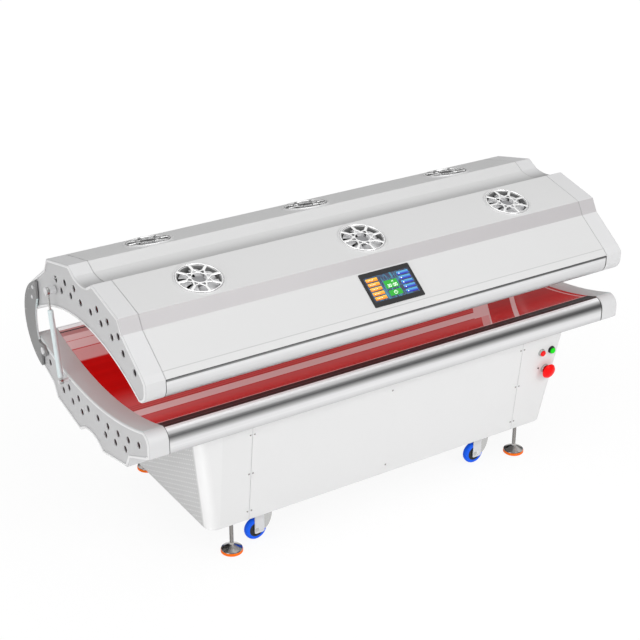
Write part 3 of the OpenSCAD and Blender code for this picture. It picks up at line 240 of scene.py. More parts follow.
class Signal:
    """One output in a material's nodes, on which Python's operators add Math nodes."""

    def __init__(self, finish, source):
        self.finish = finish
        self.source = source

    def maths(self, operation, *values):
        return self.finish.add("ShaderNodeMath", {"operation": operation}, dict(enumerate(values)))

    def __add__(self, other):
        return self.maths("ADD", self, other)

    def __radd__(self, other):
        return self.maths("ADD", other, self)

    def __sub__(self, other):
        return self.maths("SUBTRACT", self, other)

    def __rsub__(self, other):
        return self.maths("SUBTRACT", other, self)

    def __mul__(self, other):
        return self.maths("MULTIPLY", self, other)

    def __truediv__(self, other):
        return self.maths("DIVIDE", self, other)

    def __gt__(self, other):
        return self.maths("GREATER_THAN", self, other)

    def __lt__(self, other):
        return self.maths("LESS_THAN", self, other)

    def __abs__(self):
        return self.maths("ABSOLUTE", self)

    def power(self, other):
        return self.maths("POWER", self, other)

    def larger(self, other):
        return self.maths("MAXIMUM", self, other)

    def wrapped(self, step):
        """The distance from the nearest multiple of step."""
        return self.maths("PINGPONG", self, step / 2)

    def between(self, low, high):
        """One where the value lies between low and high."""
        return (self > low) * (self < high)

    def eased(self, low, high):
        """Rises smoothly from 0 at low to 1 at high."""
        return self.finish.add(
            "ShaderNodeMapRange", {"interpolation_type": "SMOOTHSTEP"},
            {"Value": self, "From Min": low, "From Max": high})


def hypotenuse(first, second):
    """The length of a way with these two parts at right angles."""
    return (first * first + second * second).power(0.5)


def grade(ramp, stops):
    """Sets a colour ramp's stops, given as (place, grey)."""
    while len(ramp.elements) < len(stops):
        ramp.elements.new(0.5)
    for element, (place, value) in zip(ramp.elements, stops):
        element.position = place
        element.color = (value, value, value, 1)


class Nodes:
    """A node tree, to which signals are added."""

    def __init__(self, owner):
        owner.use_nodes = True
        self.tree = owner.node_tree

    def add(self, kind, options=None, values=None, output=0):
        """Adds a node, sets its options and then its sockets, and returns one of its outputs."""
        node = self.tree.nodes.new(kind)
        for key, value in (options or {}).items():
            if key == "stops":
                grade(node.color_ramp, value)
            else:
                setattr(node, key, value)
        for key, value in (values or {}).items():
            self.feed(node.inputs[key], value)
        return Signal(self, node.outputs[output])

    def feed(self, socket, value):
        if isinstance(value, Signal):
            self.tree.links.new(value.source, socket)
        elif hasattr(socket.default_value, "__len__") and len(socket.default_value) == 4 and len(value) == 3:
            socket.default_value = (*value, 1)
        else:
            socket.default_value = value

    def split(self, vector):
        """The three parts of a vector."""
        node = self.add("ShaderNodeSeparateXYZ", values={0: vector}).source.node
        return [Signal(self, node.outputs[k]) for k in range(3)]

    def mix(self, factor, first, second, blend="MIX"):
        """Mixes two colours."""
        return self.add("ShaderNodeMix", {"data_type": "RGBA", "blend_type": blend},
                        {0: factor, 6: first, 7: second}, output=2)

    def rays(self, kind):
        """One for light rays of a kind, such as Is Camera Ray."""
        return self.add("ShaderNodeLightPath", output=kind)


class Finish(Nodes):
    """A material and its nodes."""

    def __init__(self, name):
        self.material = bpy.data.materials.new(name)
        super().__init__(self.material)
        self.shader = self.tree.nodes["Principled BSDF"]

    def surface(self, **values):
        """Sets the shader's sockets, named with underscores for spaces."""
        for key, value in values.items():
            self.feed(self.shader.inputs[key.replace("_", " ")], value)

    def base_colour(self):
        """What feeds the base colour so far."""
        return Signal(self, self.shader.inputs["Base Color"].links[0].from_socket)

    def place(self):
        return self.add("ShaderNodeTexCoord", output="Object")

    def axes(self):
        """The three parts of a point as signals."""
        return self.split(self.place())

    def noise(self, scale, detail, stretch=None):
        vector = self.place()
        if stretch:
            vector = self.vectors("MULTIPLY", vector, stretch)
        return self.add("ShaderNodeTexNoise", values={"Vector": vector, "Scale": scale, "Detail": detail})

    def vectors(self, operation, first, second, output=0):
        return self.add(
            "ShaderNodeVectorMath", {"operation": operation}, {0: first, 1: tuple(second)}, output)

    def along(self, origin, direction):
        """How far a point lies from the origin in a direction."""
        return self.vectors("DOT_PRODUCT", self.vectors("SUBTRACT", self.place(), origin), direction, 1)

    def bump(self, height, distance, strength):
        return self.add(
            "ShaderNodeBump", values={"Height": height, "Distance": distance, "Strength": strength})


def tinted(colour, share):
    """A colour made lighter or darker by a share."""
    return tuple(min(1.0, c * share) for c in colour)


finishes = {}


def finish_of(name):
    """The named finish, made the first time that a piece asks for it."""
    if name not in finishes:
        finishes[name] = MAKERS[name]().material
    return finishes[name]


def coated(name, colour, roughness, peel=0.35, coat=0.0):
    """Powder coat or moulded plastic: a soft mottle, a fine orange peel and faint handling marks."""
    f = Finish(name)
    broad = f.noise(1.7, 3)
    fine = f.noise(420, 2)
    marks = f.noise(9, 5)
    tone = (broad - 0.5) * 0.5 + 0.5
    f.surface(
        Base_Color=f.mix(tone, tinted(colour, 0.975), tinted(colour, 1.02)),
        Roughness=(marks - 0.5) * 0.10 + (fine - 0.5) * 0.06 + roughness,
        Normal=f.bump(fine, 0.00012, peel),
        Coat_Weight=coat,
        Coat_Roughness=0.12,
    )
    return f


def canopy_painted_shade(f, plain, y, depth=0.64):
    """Painted shade on the canopy's paint: a darker step band, and a painted shadow in the valley, darkest at
    its front foot; depth sets how dark that shadow is.
    """
    s = settings("bed_canopy")
    colours = settings("bed_colours")
    u = y - MIDDLE_Y
    out = abs(u)
    start = shoulder_u()
    end = start + s.step_run
    # Painted shade on the step band.
    band = out.eased(start - 0.001, start + 0.001) * (1 - out.eased(end - 0.001, end + 0.001))
    # Painted shadow in the valley, fading from its front foot towards the rear ridge.
    fall = u.eased(-s.valley_half - 0.006, -s.valley_half)
    rise = u.eased(-s.valley_half, s.valley_half + 0.010)
    toned = f.mix(band, plain, colours.band)
    return f.mix(fall * (1 - rise), toned, tinted(colours.shell, depth))


def canopy_paint():
    """The canopy's skin: paint with a painted shade line along the fold crease, a painted shadow line at each
    cap seam, strong at the right end and faint at the left, and the canopy's painted shade on its step band
    and valley.
    """
    s = settings("bed_canopy")
    colours = settings("bed_colours")
    f = coated("canopy_white", colours.shell, 0.34)
    x, y, z = f.axes()
    # Painted shade: a thin dark line along the fold crease.
    fold_crease_shade = 1 - abs(abs(y - MIDDLE_Y) - (CANOPY_HIGH.y - MIDDLE_Y - s.fold_run)).eased(0.0004, 0.0018)
    # Painted shadow in the gap at each cap seam: strong at the right end, faint at the left.
    seam = x.eased(CANOPY_HIGH.x - 0.0022, CANOPY_HIGH.x - 0.0010) * 0.8
    seam += (0 - x).eased(CANOPY_HIGH.x - 0.0014, CANOPY_HIGH.x - 0.0008) * 0.15
    plain = f.base_colour()
    toned = canopy_painted_shade(f, plain, y)
    f.surface(Base_Color=f.mix((fold_crease_shade * 0.5).larger(seam), toned, tinted(colours.shell, 0.50)))
    return f


def cap_paint(name, node, centre_z, radius, outside):
    """A cap's moulded plastic, with painted light: a painted highlight on the rim's crest, painted shade over
    the sunk face, and a cool grey painted shade on its side to the tunnel, weighted by outside.
    """
    t = settings("bed_trim")
    colour = settings("bed_colours").cap
    f = coated(name, colour, 0.40)
    x, y, z = f.axes()
    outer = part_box(node)[1].x
    # Painted shade over the face that lies sunk behind the rim.
    sunk_face_shade = 1 - abs(abs(x) - outer + t.rim_depth).eased(0.0006, 0.0012)
    # Painted highlight on the rim's crest.
    rim = abs(x).eased(outer - 0.0016, outer - 0.0004)
    # Painted shade in cool grey on the cap's side to the tunnel.
    reach = hypotenuse(y - MIDDLE_Y, z - centre_z)
    inner = 1 - abs(reach - radius).eased(0.0010, 0.0020)
    plain = f.base_colour()
    # Canopy caps also take the canopy's painted shade on their step band and valley.
    if name.startswith("canopy"):
        plain = f.mix(0.9, plain, canopy_painted_shade(f, plain, y, 0.50))
    toned = f.mix(sunk_face_shade, plain, tinted(colour, 0.80))
    toned = f.mix(rim * 0.6, toned, (0.95, 0.95, 0.95))
    f.surface(Base_Color=f.mix(inner * outside, toned, (0.76, 0.86, 0.86)))
    return f


def rail_metal(name, node, height, stops, lip, glow):
    """Brushed aluminium with painted light: painted reflection in grey bands up its height, painted shadow at
    its ends, a dark red painted reflection at its front lip and, where glow is set, a painted highlight that
    glows along its top.
    """
    f = metal(name, settings("bed_colours").rail, 0.40, (1.2, 240, 240))
    x, y, z = f.axes()
    low, high = height
    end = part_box(node)[1].x
    # Painted reflection: bands of grey from the rail's foot to its top.
    ramp = f.add("ShaderNodeValToRGB", {"stops": stops}, {0: (z - low) / (high - low)})
    plain = f.base_colour()
    toned = f.mix(1.0, plain, ramp, "MULTIPLY")
    # Painted shadow in the gaps at the caps, wider at the right end than at the left.
    edge = x.eased(end - 0.0045, end - 0.0030) + (0 - x).eased(end - 0.0012, end - 0.0006)
    # Painted reflection of the red sheet: dark red on the front rail's lip.
    inner = (1 - (MIDDLE_Y - y).eased(lip - 0.0015, lip)) * (y < MIDDLE_Y)
    # Painted highlight along the top, which glows.
    top = z.eased(high - (high - low) * 0.16, high - (high - low) * 0.04) * (1 - inner) * glow
    f.surface(
        Base_Color=f.mix(edge, f.mix(inner, toned, (0.07, 0.045, 0.045)), (0.05, 0.05, 0.05)),
        Metallic=0.55,
        Emission_Color=f.mix(top, (0.0, 0.0, 0.0), (1.0, 1.0, 1.0)),
        Emission_Strength=0.20,
    )
    return f


def perforated():
    """The cabinet's ends: powder coat, in painted shade on the flat part, where small holes let light
    through, with a painted highlight on the left corner and painted shade on the right corner.

    Each column of holes lies a third of a pitch off the one before it.
    """
    t = settings("bed_trim")
    c = settings("bed_cabinet")
    colour = settings("bed_colours").cabinet
    f = coated("cabinet_perforated", colour, 0.42)
    x, y, z = f.axes()
    drop = t.row_pitch / 3 / t.perforation
    u = y - MIDDLE_Y
    rise = z - CABINET[0].z
    hole = hypotenuse(u.wrapped(t.perforation), (rise + u * drop).wrapped(t.row_pitch))
    reach = t.perforation * 0.22
    edge = abs(u) - rise * c.front_lean - (c.half_depth - c.corner)
    bend = c.half_length - c.corner
    holed = (edge < -0.002) * (abs(x) > c.half_length - 0.002) * (rise > 0.012)
    # Painted shade on the flat part of each end, a painted highlight on the left corner and painted shade on
    # the right corner.
    shade = (1 - edge.eased(-0.010, 0.012)) * (abs(x) > bend)
    left_corner_highlight = edge.eased(0.000, 0.012) * (1 - edge.eased(0.030, 0.046)) * (x < -bend)
    right_corner_shade = edge.eased(-0.004, 0.006) * (1 - edge.eased(0.016, 0.030)) * (x > bend)
    dots = (1 - hole.eased(reach * 0.85, reach)) * holed
    plain = f.base_colour()
    plain = f.mix(right_corner_shade * 0.7, plain, tinted(colour, 0.72))
    toned = f.mix(shade, f.mix(left_corner_highlight, plain, (0.99, 0.99, 0.99)), tinted(colour, 0.70))
    f.surface(
        Base_Color=f.mix(dots, toned, colour),
        Normal=f.bump(hole.eased(reach * 0.8, reach * 1.15) * holed, 0.0006, 0.8),
    )
    return f


def metal(name, colour, roughness, brush, depth=0.00003, tone=0.10):
    """Metal with fine lines along the direction in which brush is smallest."""
    f = Finish(name)
    lines = f.noise(1.0, 4, brush)
    cloud = f.noise(6, 3)
    f.surface(
        Base_Color=f.mix(lines, tinted(colour, 1 - tone), tinted(colour, 1 + tone / 2)),
        Metallic=1.0,
        Roughness=(lines - 0.5) * 0.16 + (cloud - 0.5) * 0.06 + roughness,
        Normal=f.bump(lines, depth, 0.6),
    )
    return f


def rubber(name, colour, roughness, grain=900):
    """Rubber or textured plastic, with a fine grain."""
    f = Finish(name)
    fine = f.noise(grain, 3)
    cloud = f.noise(14, 3)
    f.surface(
        Base_Color=f.mix(cloud, tinted(colour, 0.85), tinted(colour, 1.15)),
        Roughness=(fine - 0.5) * 0.12 + roughness,
        Normal=f.bump(fine, 0.0001, 0.5),
    )
    return f


def lit_side(f, radius, centre_z):
    """One on the side of a curved sheet that faces the person, within a radius of the curve's centre."""
    x, y, z = f.axes()
    return hypotenuse(y - MIDDLE_Y, z - centre_z) < radius


def clear_red():
    """The red lying sheet: deep red, with pale bands, bars and blush that are partly the boards and ribs
    showing through and partly painted reflection, painted shade on its right part and along its front edge,
    and a painted glow on its upper side.
    """
    s = settings("bed_lower")
    colours = settings("bed_colours")
    f = Finish("clear_red")
    x, y, z = f.axes()
    across = y - MIDDLE_Y
    streak = f.noise(1.0, 3, (0.8, 60, 1))
    slant = x - (across + 0.376) * 0.70
    right = slant.eased(0.455, 0.465)
    # A soft pale blush over the front half, left of the slanted line: partly the boards seen through the
    # sheet, partly painted reflection.
    soft = across.eased(-0.360, -0.270) * (1 - across.eased(-0.150, 0.0)) * (0.22 - right * 0.22)
    # Painted shade over the right part of the sheet.
    right_part_shade = right * across.eased(-0.350, -0.120) * 0.42
    deep = f.mix(soft, f.mix(streak, tinted(colours.red, 0.72), tinted(colours.red, 0.98)), colours.blush)
    deep = f.mix(right_part_shade, deep, (0.20, 0.100, 0.105))
    # Painted shade: darker red along the front edge, where the rail shades it.
    deep = f.mix((1 - across.eased(-0.352, -0.340)) * 0.6, deep, (0.45, 0.0, 0.0))
    # Pale marks, partly the boards and ribs seen through the sheet and partly painted reflection: a band, the
    # rear part, slanted bars, a line at the right end and one near the front edge.
    band = across.eased(-0.256, -0.252) * (1 - across.eased(-0.202, -0.198)) * (1 - slant.eased(0.388, 0.390))
    far = across.eased(0.222, 0.236) * 0.45 + across.eased(0.300, 0.304) * 0.35
    seam = across.between(0.2955, 0.3005) + across.between(0.345, 0.348)
    # Dark lengthwise lines in the front half.
    lines = across.between(-0.196, -0.191) + across.between(-0.176, -0.173) * 0.7
    lines += across.between(-0.160, -0.158) + across.between(-0.262, -0.258) * 0.5
    bars = slant.between(0.568, 0.590) + slant.between(0.388, 0.460) * (across > -0.262)
    bars += slant.between(0.420, 0.455) * (across < -0.262) * 0.45
    bars += slant.between(0.455, 0.461) * (across < -0.200)
    ends = x.between(0.902, 0.909)
    rim = across.between(-0.3765, -0.371) * 0.5
    pale = (band * 1.05 + bars * (across < 0.10) * 0.95 + ends * 0.7 + rim + far * 1.25) * (1 - seam * 0.8)
    toned = f.mix(lines * (slant < 0.388) * 0.6, f.mix(pale, deep, colours.blush), tinted(colours.red, 0.35))
    # Painted glow on the sheet's upper side, paler where the pale marks are.
    upper = lit_side(f, s.bed_radius + 0.001 + s.sheet / 2, lower_section()[1])
    f.surface(
        Base_Color=toned,
        Roughness=0.22 + (streak - 0.5) * 0.04,
        Coat_Weight=0.10,
        Coat_Roughness=0.12,
        Emission_Color=f.mix(upper, (0.0, 0.0, 0.0), f.mix(pale, toned, (0.62, 0.64, 0.64))),
        Emission_Strength=0.30,
        Specular_IOR_Level=0.2,
    )
    return f


def gasket():
    """The gasket is black in front; behind, it lies pale under the sheet's edge with one black line."""
    f = rubber("seal_black", (0.020, 0.020, 0.021), 0.45)
    x, y, z = f.axes()
    across = y - MIDDLE_Y
    pale = (across > 0) * (1 - across.between(0.3965, 0.4015))
    plain = f.base_colour()
    f.surface(Base_Color=f.mix(pale, plain, settings("bed_colours").blush))
    return f


def clear_canopy():
    """The canopy's red sheet, lit a little on its side to the tunnel."""
    colours = settings("bed_colours")
    f = Finish("clear_canopy")
    streak = f.noise(1.0, 3, (0.8, 60, 1))
    under = lit_side(f, settings("bed_canopy").tunnel_radius + 0.0055, canopy_section()[1])
    f.surface(
        Base_Color=f.mix(streak, tinted(colours.red, 0.85), tinted(colours.red, 1.1)),
        Roughness=0.10 + streak * 0.03,
        Coat_Weight=0.5,
        Emission_Color=f.mix(under, (0.0, 0.0, 0.0), (0.75, 0.02, 0.02)),
        Emission_Strength=0.12,
    )
    return f


def light_board():
    """Red circuit board with rows of round lamps; between the lamps the board has a faint painted glow."""
    f = Finish("light_board")
    x, y, z = f.axes()
    pitch = settings("bed_trim").lamp_pitch
    lamp = 1 - hypotenuse(x.wrapped(pitch), y.wrapped(pitch)).eased(0.0026, 0.0034)
    f.surface(
        Base_Color=f.mix(lamp, (0.55, 0.06, 0.06), (0.9, 0.5, 0.45)),
        Roughness=0.4,
        # The lamps glow, and the board between them has a faint painted glow.
        Emission_Color=f.mix(lamp, (0.10, 0.0, 0.0), (1.0, 0.08, 0.05)),
        Emission_Strength=0.15,
    )
    return f


def circuit_screen():
    """Dark blue background of the display, with pale streaks."""
    f = Finish("display_glass")
    x, y, z = f.axes()
    fine = f.noise(1.0, 3, (160, 20, 20))
    cell = f.add(
        "ShaderNodeTexVoronoi", {"feature": "DISTANCE_TO_EDGE"}, {"Scale": 38.0, "Vector": f.place()})
    trace = 1 - cell.eased(0.02, 0.08)
    glow = (abs(x) < 0.040) * fine.eased(0.50, 0.64)
    tone = f.mix(trace * 0.5, (0.004, 0.012, 0.055), (0.01, 0.16, 0.30))
    f.surface(
        Base_Color=f.mix(glow * 0.6, tone, (0.02, 0.30, 0.42)),
        Roughness=0.08,
        Emission_Color=f.mix(glow * 0.6, tone, (0.02, 0.34, 0.45)),
        Emission_Strength=0.35,
        Coat_Weight=1.0,
        Coat_Roughness=0.02,
    )
    return f


def key_face(name, top, bottom):
    """A lit key on the display, paler towards its upper edge."""
    f = Finish(name)
    place = display_place()
    up = f.along(place.translation, place.col[1].xyz) - KEY_PITCH / 2
    shade = up.maths("WRAP", up, KEY_PITCH, 0.0) / KEY_PITCH
    tone = f.mix(shade.eased(0.2, 0.8), bottom, top)
    f.surface(Base_Color=tone, Roughness=0.25, Emission_Color=tone, Emission_Strength=0.28)
    return f


def glowing(name, colour, strength=0.4):
    """A lit field on the display."""
    f = Finish(name)
    cloud = f.noise(300, 2)
    tone = f.mix(cloud, tinted(colour, 0.95), tinted(colour, 1.0))
    f.surface(Base_Color=tone, Roughness=0.2, Emission_Color=tone, Emission_Strength=strength)
    return f


def painted_glow(f, name):
    """Gives strong plastic a painted glow in its own colour, which keeps white surroundings from washing out
    its full colour.
    """
    f.surface(Emission_Color=of_colour(name), Emission_Strength=0.26, Specular_IOR_Level=0.2)
    return f


def of_colour(name):
    return tuple(getattr(settings("bed_colours"), name))


# Painted reflection on the rails: tones from their foot to their top, as (share of the height, grey)
CANOPY_RAIL_REFLECTION = [(0.0, 0.10), (0.07, 0.35), (0.16, 0.66), (0.55, 0.84), (0.82, 1.0), (0.90, 0.95),
                     (0.94, 0.20), (1.0, 0.14)]
LOWER_RAIL_REFLECTION = [(0.0, 0.66), (0.12, 0.80), (0.30, 1.0), (0.46, 0.95), (0.61, 0.45), (0.71, 0.12),
                    (0.78, 0.14), (0.88, 0.55), (0.94, 1.0)]

MAKERS = {
    "shell": lambda: coated("shell_white", of_colour("shell"), 0.36),
    "canopy": canopy_paint,
    "perforated": perforated,
    # In both caps below, the last number weights the cool grey painted shade on the side to the tunnel.
    "canopy_cap": lambda: cap_paint("canopy_cap_white", "canopy_cap_right", canopy_section()[1],
                                    settings("bed_canopy").tunnel_radius, 0.35),
    "lower_cap": lambda: cap_paint("lower_cap_white", "lower_cap_right", lower_section()[1],
                                   settings("bed_lower").bed_radius, 1.0),
    "cabinet": lambda: coated("cabinet_white", of_colour("cabinet"), 0.42),
    "frame": lambda: coated("frame_paint", of_colour("frame"), 0.5, 0.6),
    # The ribs are near black: partly their own dark finish, partly painted shade that keeps the vent holes
    # dark inside.
    "rib": lambda: coated("rib_painted_dark", (0.045, 0.042, 0.042), 0.5),
    # A rail's lip sets where its dark red painted reflection begins, and glow turns on its painted highlight
    # along the top.
    "canopy_rail": lambda: rail_metal(
        "canopy_rail_brushed", "canopy_rails", [corner.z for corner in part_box("canopy_rails")],
        CANOPY_RAIL_REFLECTION, lip=0.0, glow=0.0),
    "lower_rail": lambda: rail_metal(
        "lower_rail_brushed", "lower_rails", (LOWER_CAP[1].z - 0.090, LOWER_CAP[1].z), LOWER_RAIL_REFLECTION,
        lip=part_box("lower_rails")[1].y - MIDDLE_Y - settings("bed_lower").nose_radius + 0.011, glow=1.0),
    "steel": lambda: metal("plated_steel", of_colour("steel"), 0.22, (60, 60, 60)),
    "chrome": lambda: metal("grille_chrome", (0.98, 0.98, 0.98), 0.20, (90, 90, 90), 0.00001, 0.04),
    "dark_steel": lambda: metal("foot_steel", of_colour("dark_steel"), 0.20, (80, 80, 80)),
    "red": clear_red,
    "canopy_red": clear_canopy,
    "board": light_board,
    "seal": gasket,
    "black": lambda: rubber("black_plastic", of_colour("black"), 0.40),
    "bezel": lambda: rubber("display_black", (0.005, 0.005, 0.006), 0.55),
    "screen": circuit_screen,
    "amber_key": lambda: key_face("amber_key", (0.90, 0.50, 0.06), (0.80, 0.24, 0.01)),
    "blue_key": lambda: key_face("blue_key", (0.09, 0.36, 0.62), (0.012, 0.012, 0.42)),
    "green_field": lambda: glowing("green_field", of_colour("green")),
    "lettering": lambda: glowing("pale_figures", (0.9, 0.95, 0.9), 0.7),
    "arm": lambda: coated("arm_grey", of_colour("arm"), 0.5, 0.9),
    "strut": lambda: coated("strut_white", of_colour("strut"), 0.45, 0.1, 0.1),
    "fan": lambda: coated("fan_grey", (0.78, 0.78, 0.79), 0.28),
    "hub": lambda: coated("fan_hub_grey", (0.30, 0.30, 0.31), 0.35),
    "filter": lambda: rubber("filter_black", (0.012, 0.012, 0.012), 0.8, 500),
    "fan_dark": lambda: coated("fan_case", (0.22, 0.22, 0.22), 0.45),
    "zinc": lambda: coated("zinc_pale", (0.76, 0.76, 0.77), 0.35, 0.5),
    # Buttons, tyres and pads take a painted glow in their own colour.
    "stop": lambda: painted_glow(coated("red_plastic", of_colour("stop"), 0.36, 0.2), "stop"),
    "start": lambda: painted_glow(coated("green_plastic", of_colour("start"), 0.36, 0.2), "start"),
    "tyre": lambda: painted_glow(rubber("tyre_blue", of_colour("tyre"), 0.50), "tyre"),
    "pad": lambda: painted_glow(rubber("pad_orange", of_colour("pad"), 0.55), "pad"),
    "supply": lambda: metal("supply_case", (0.60, 0.60, 0.60), 0.4, (40, 40, 40)),
}

NODE_FINISHES = {
    "frame": ["base_frame"],
    "cabinet": ["cabinet_front", "cabinet_rear", "cabinet_end_left", "cabinet_end_right"],
    "shell": ["lower_shell"],
    "canopy": ["canopy_shell"],
    "lower_cap": ["lower_cap_left", "lower_cap_right"],
    "canopy_cap": ["canopy_cap_left", "canopy_cap_right"],
    "lower_rail": ["lower_rails"],
    "canopy_rail": ["canopy_rails"],
    "red": ["bed_sheet"],
    "canopy_red": ["canopy_sheet"],
    "seal": ["bed_seals", "canopy_seals"],
    "board": ["lower_light_boards", "canopy_light_boards"],
    "rib": ["lower_ribs", "canopy_ribs"],
    "steel": ["control_bezels", "strut_rod_left", "strut_rod_right", "castor_plates"],
    "zinc": ["lower_pivot_pins", "upper_pivot_pins"],
    "supply": ["power_supplies"],
    "dark_steel": ["cabinet_screws"],
    "black": ["mains_inlet"],
    "bezel": ["display_frame"],
    "screen": ["display_screen"],
    "fan_dark": ["fan_frames"],
    "chrome": ["fan_grilles"],
    "arm": ["hinge_arms"],
    "strut": ["strut_cylinder_left", "strut_cylinder_right"],
    "stop": ["red_button", "estop_head"],
    "start": ["green_button"],
}

# Finishes of the nodes whose names start so
GROUP_FINISHES = {"fan_rotor": "fan", "foot": "dark_steel", "castor_fork": "zinc", "castor_wheel": "tyre"}


# Mesh building


class Form:
    """A mesh that is built from rows of points."""

    def __init__(self):
        self.bm = bmesh.new()

    def row(self, points):
        return [self.bm.verts.new(p) for p in points]

    def face(self, corners):
        """Adds a face, unless the mesh has it already."""
        try:
            self.bm.faces.new(corners)
        except ValueError:
            pass

    def bridge(self, first, second, closed=True):
        count = len(first)
        for i in range(count if closed else count - 1):
            j = (i + 1) % count
            self.face((first[i], first[j], second[j], second[i]))

    def loft(self, rows, closed=True):
        """Skins rows of equal length and returns their vertices."""
        made = [self.row(points) for points in rows]
        for first, second in zip(made, made[1:]):
            self.bridge(first, second, closed)
        return made

    def plate(self, loops):
        """Fills the flat area inside the first loop of vertices and outside the others."""
        edges = []
        for loop in loops:
            for a, b in zip(loop, loop[1:] + loop[:1]):
                edges.append(self.bm.edges.get((a, b)) or self.bm.edges.new((a, b)))
        bmesh.ops.triangle_fill(self.bm, edges=edges, use_beauty=True)

    def lathe(self, profile, place=Matrix(), segments=48, closed=False):
        """Turns a profile of (radius, height) round the Z axis of place."""
        turns = [2 * math.pi * k / segments for k in range(segments)]
        rows = [[place @ Vector((r * math.cos(a), r * math.sin(a), h)) for a in turns] for r, h in profile]
        made = self.loft(rows)
        if closed:
            self.bridge(made[-1], made[0])
        return made

    def bar(self, start, end, width, height, place=Matrix(), sides=12):
        """A bar with a rounded section that lies along a line, in the plane of place."""
        a, b = Vector((*start, 0)), Vector((*end, 0))
        along = (b - a).normalized()
        across = Vector((-along.y, along.x, 0))
        turns = [2 * math.pi * k / sides for k in range(sides)]
        ring = [(square_root(math.cos(a)), square_root(math.sin(a))) for a in turns]
        beyond = along * width * 0.3
        rows = []
        for point, share in ((a - beyond, 0.45), (a, 1), (b, 1), (b + beyond, 0.45)):
            wide, high = width / 2 * share, height / 2 * share
            rows.append([place @ (point + across * (c * wide) + Vector((0, 0, s * high))) for c, s in ring])
        self.solid(rows)

    def slab(self, outline, z0, z1, place=Matrix(), edge=0.0005, steps=3):
        """A flat outline with height, whose upper edge is rounded."""
        rows = [[place @ Vector((*p, z0)) for p in outline]]
        for a in quarter(steps):
            inner = inset(outline, edge * (1 - math.cos(a)))
            rows.append([place @ Vector((*p, z1 - edge + edge * math.sin(a))) for p in inner])
        self.solid(rows)

    def solid(self, rows):
        """Skins rows and closes the first and the last."""
        made = self.loft(rows)
        self.face(made[0])
        self.face(made[-1])

    def strip(self, rows):
        """Skins rows that go along one side of a thin sheet and back along the other."""
        for row in self.loft(rows):
            for i in range(len(row) // 2 - 1):
                self.face((row[i], row[i + 1], row[-2 - i], row[-1 - i]))

    def run(self, outline, x0, x1):
        """Runs a bent sheet's outline along the bed."""
        self.strip([[across(x, p) for p in outline] for x in (x0, x1)])

    def piece(self, name, finish, body, replaces=(), slot=None, sharp=30, outward=None):
        """Makes the object, gives it its finish and lets it ride on a body."""
        bmesh.ops.remove_doubles(self.bm, verts=self.bm.verts, dist=1e-6)
        bmesh.ops.dissolve_degenerate(self.bm, edges=self.bm.edges, dist=1e-7)
        bmesh.ops.recalc_face_normals(self.bm, faces=self.bm.faces)
        if outward:
            way = Vector(outward)
            lead = max(self.bm.faces,
                       key=lambda f: f.calc_center_median().dot(way) * 4 + abs(f.normal.dot(way)))
            if lead.normal.dot(way) < 0:
                bmesh.ops.reverse_faces(self.bm, faces=self.bm.faces)
        mesh = bpy.data.meshes.new(name)
        self.bm.to_mesh(mesh)
        self.bm.free()
        mesh.shade_smooth()
        mesh.set_sharp_from_angle(angle=math.radians(sharp))
        mesh.materials.append(finish_of(finish))
        obj = bpy.data.objects.new(name, mesh)
        bpy.context.scene.collection.objects.link(obj)
        even = obj.modifiers.new("Even shading", "WEIGHTED_NORMAL")
        even.keep_sharp = True
        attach(obj, body)
        if replaces:
            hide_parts(*replaces)


def turned(profile, place, segments, *details, **more):
    """Makes a piece of one turned profile. The details are those of Form.piece."""
    form = Form()
    form.lathe(profile, place, segments)
    form.piece(*details, **more)


def square_root(value):
    """A square root that keeps the sign, which makes a circle's section squarer."""
    return math.copysign(math.sqrt(abs(value)), value)


def across(x, point):
    """A point of a section across the bed, placed at x."""
    return Vector((x, MIDDLE_Y + point[0], point[1]))


def bent(line, thickness):
    """The outline of a sheet bent along a line, thick towards the line's left."""
    return line + shifted(line, thickness)[::-1]


def mirrored(points):
    """The same points on the other side of the middle line."""
    return [(-u, z) for u, z in points]


def arc(centre, radius, start, end, steps):
    """Points on an arc in degrees, both ends included."""
    turns = [math.radians(start + (end - start) * k / steps) for k in range(steps + 1)]
    return [(centre[0] + radius * math.cos(a), centre[1] + radius * math.sin(a)) for a in turns]


def quarter(steps):
    """Angles from 0 to a right angle."""
    return [math.pi / 2 * k / steps for k in range(steps + 1)]


def circle(centre, radius, steps=32):
    """A closed outline."""
    return arc(centre, radius, 0, 360, steps)[:-1]


def rounded(points, radius, steps=4, closed=False, least=8):
    """Rounds the corners of a line that turn by more than least degrees."""
    made = []
    count = len(points)
    for i, point in enumerate(points):
        if not closed and i in (0, count - 1):
            made.append(tuple(point))
            continue
        p = Vector(point)
        before = Vector(points[i - 1]) - p
        after = Vector(points[(i + 1) % count]) - p
        turn = math.pi - before.angle(after)
        if turn < math.radians(least):
            made.append(tuple(point))
            continue
        reach = min(radius * math.tan(turn / 2), before.length * 0.48, after.length * 0.48)
        bend = reach / math.tan(turn / 2)
        side = (before.normalized() + after.normalized()).normalized()
        centre = p + side * (bend / math.cos(turn / 2))
        first = p + before.normalized() * reach - centre
        sweep = first.angle_signed(p + after.normalized() * reach - centre)
        for k in range(steps + 1):
            a = -sweep * k / steps
            made.append((centre.x + first.x * math.cos(a) - first.y * math.sin(a),
                         centre.y + first.x * math.sin(a) + first.y * math.cos(a)))
    return made


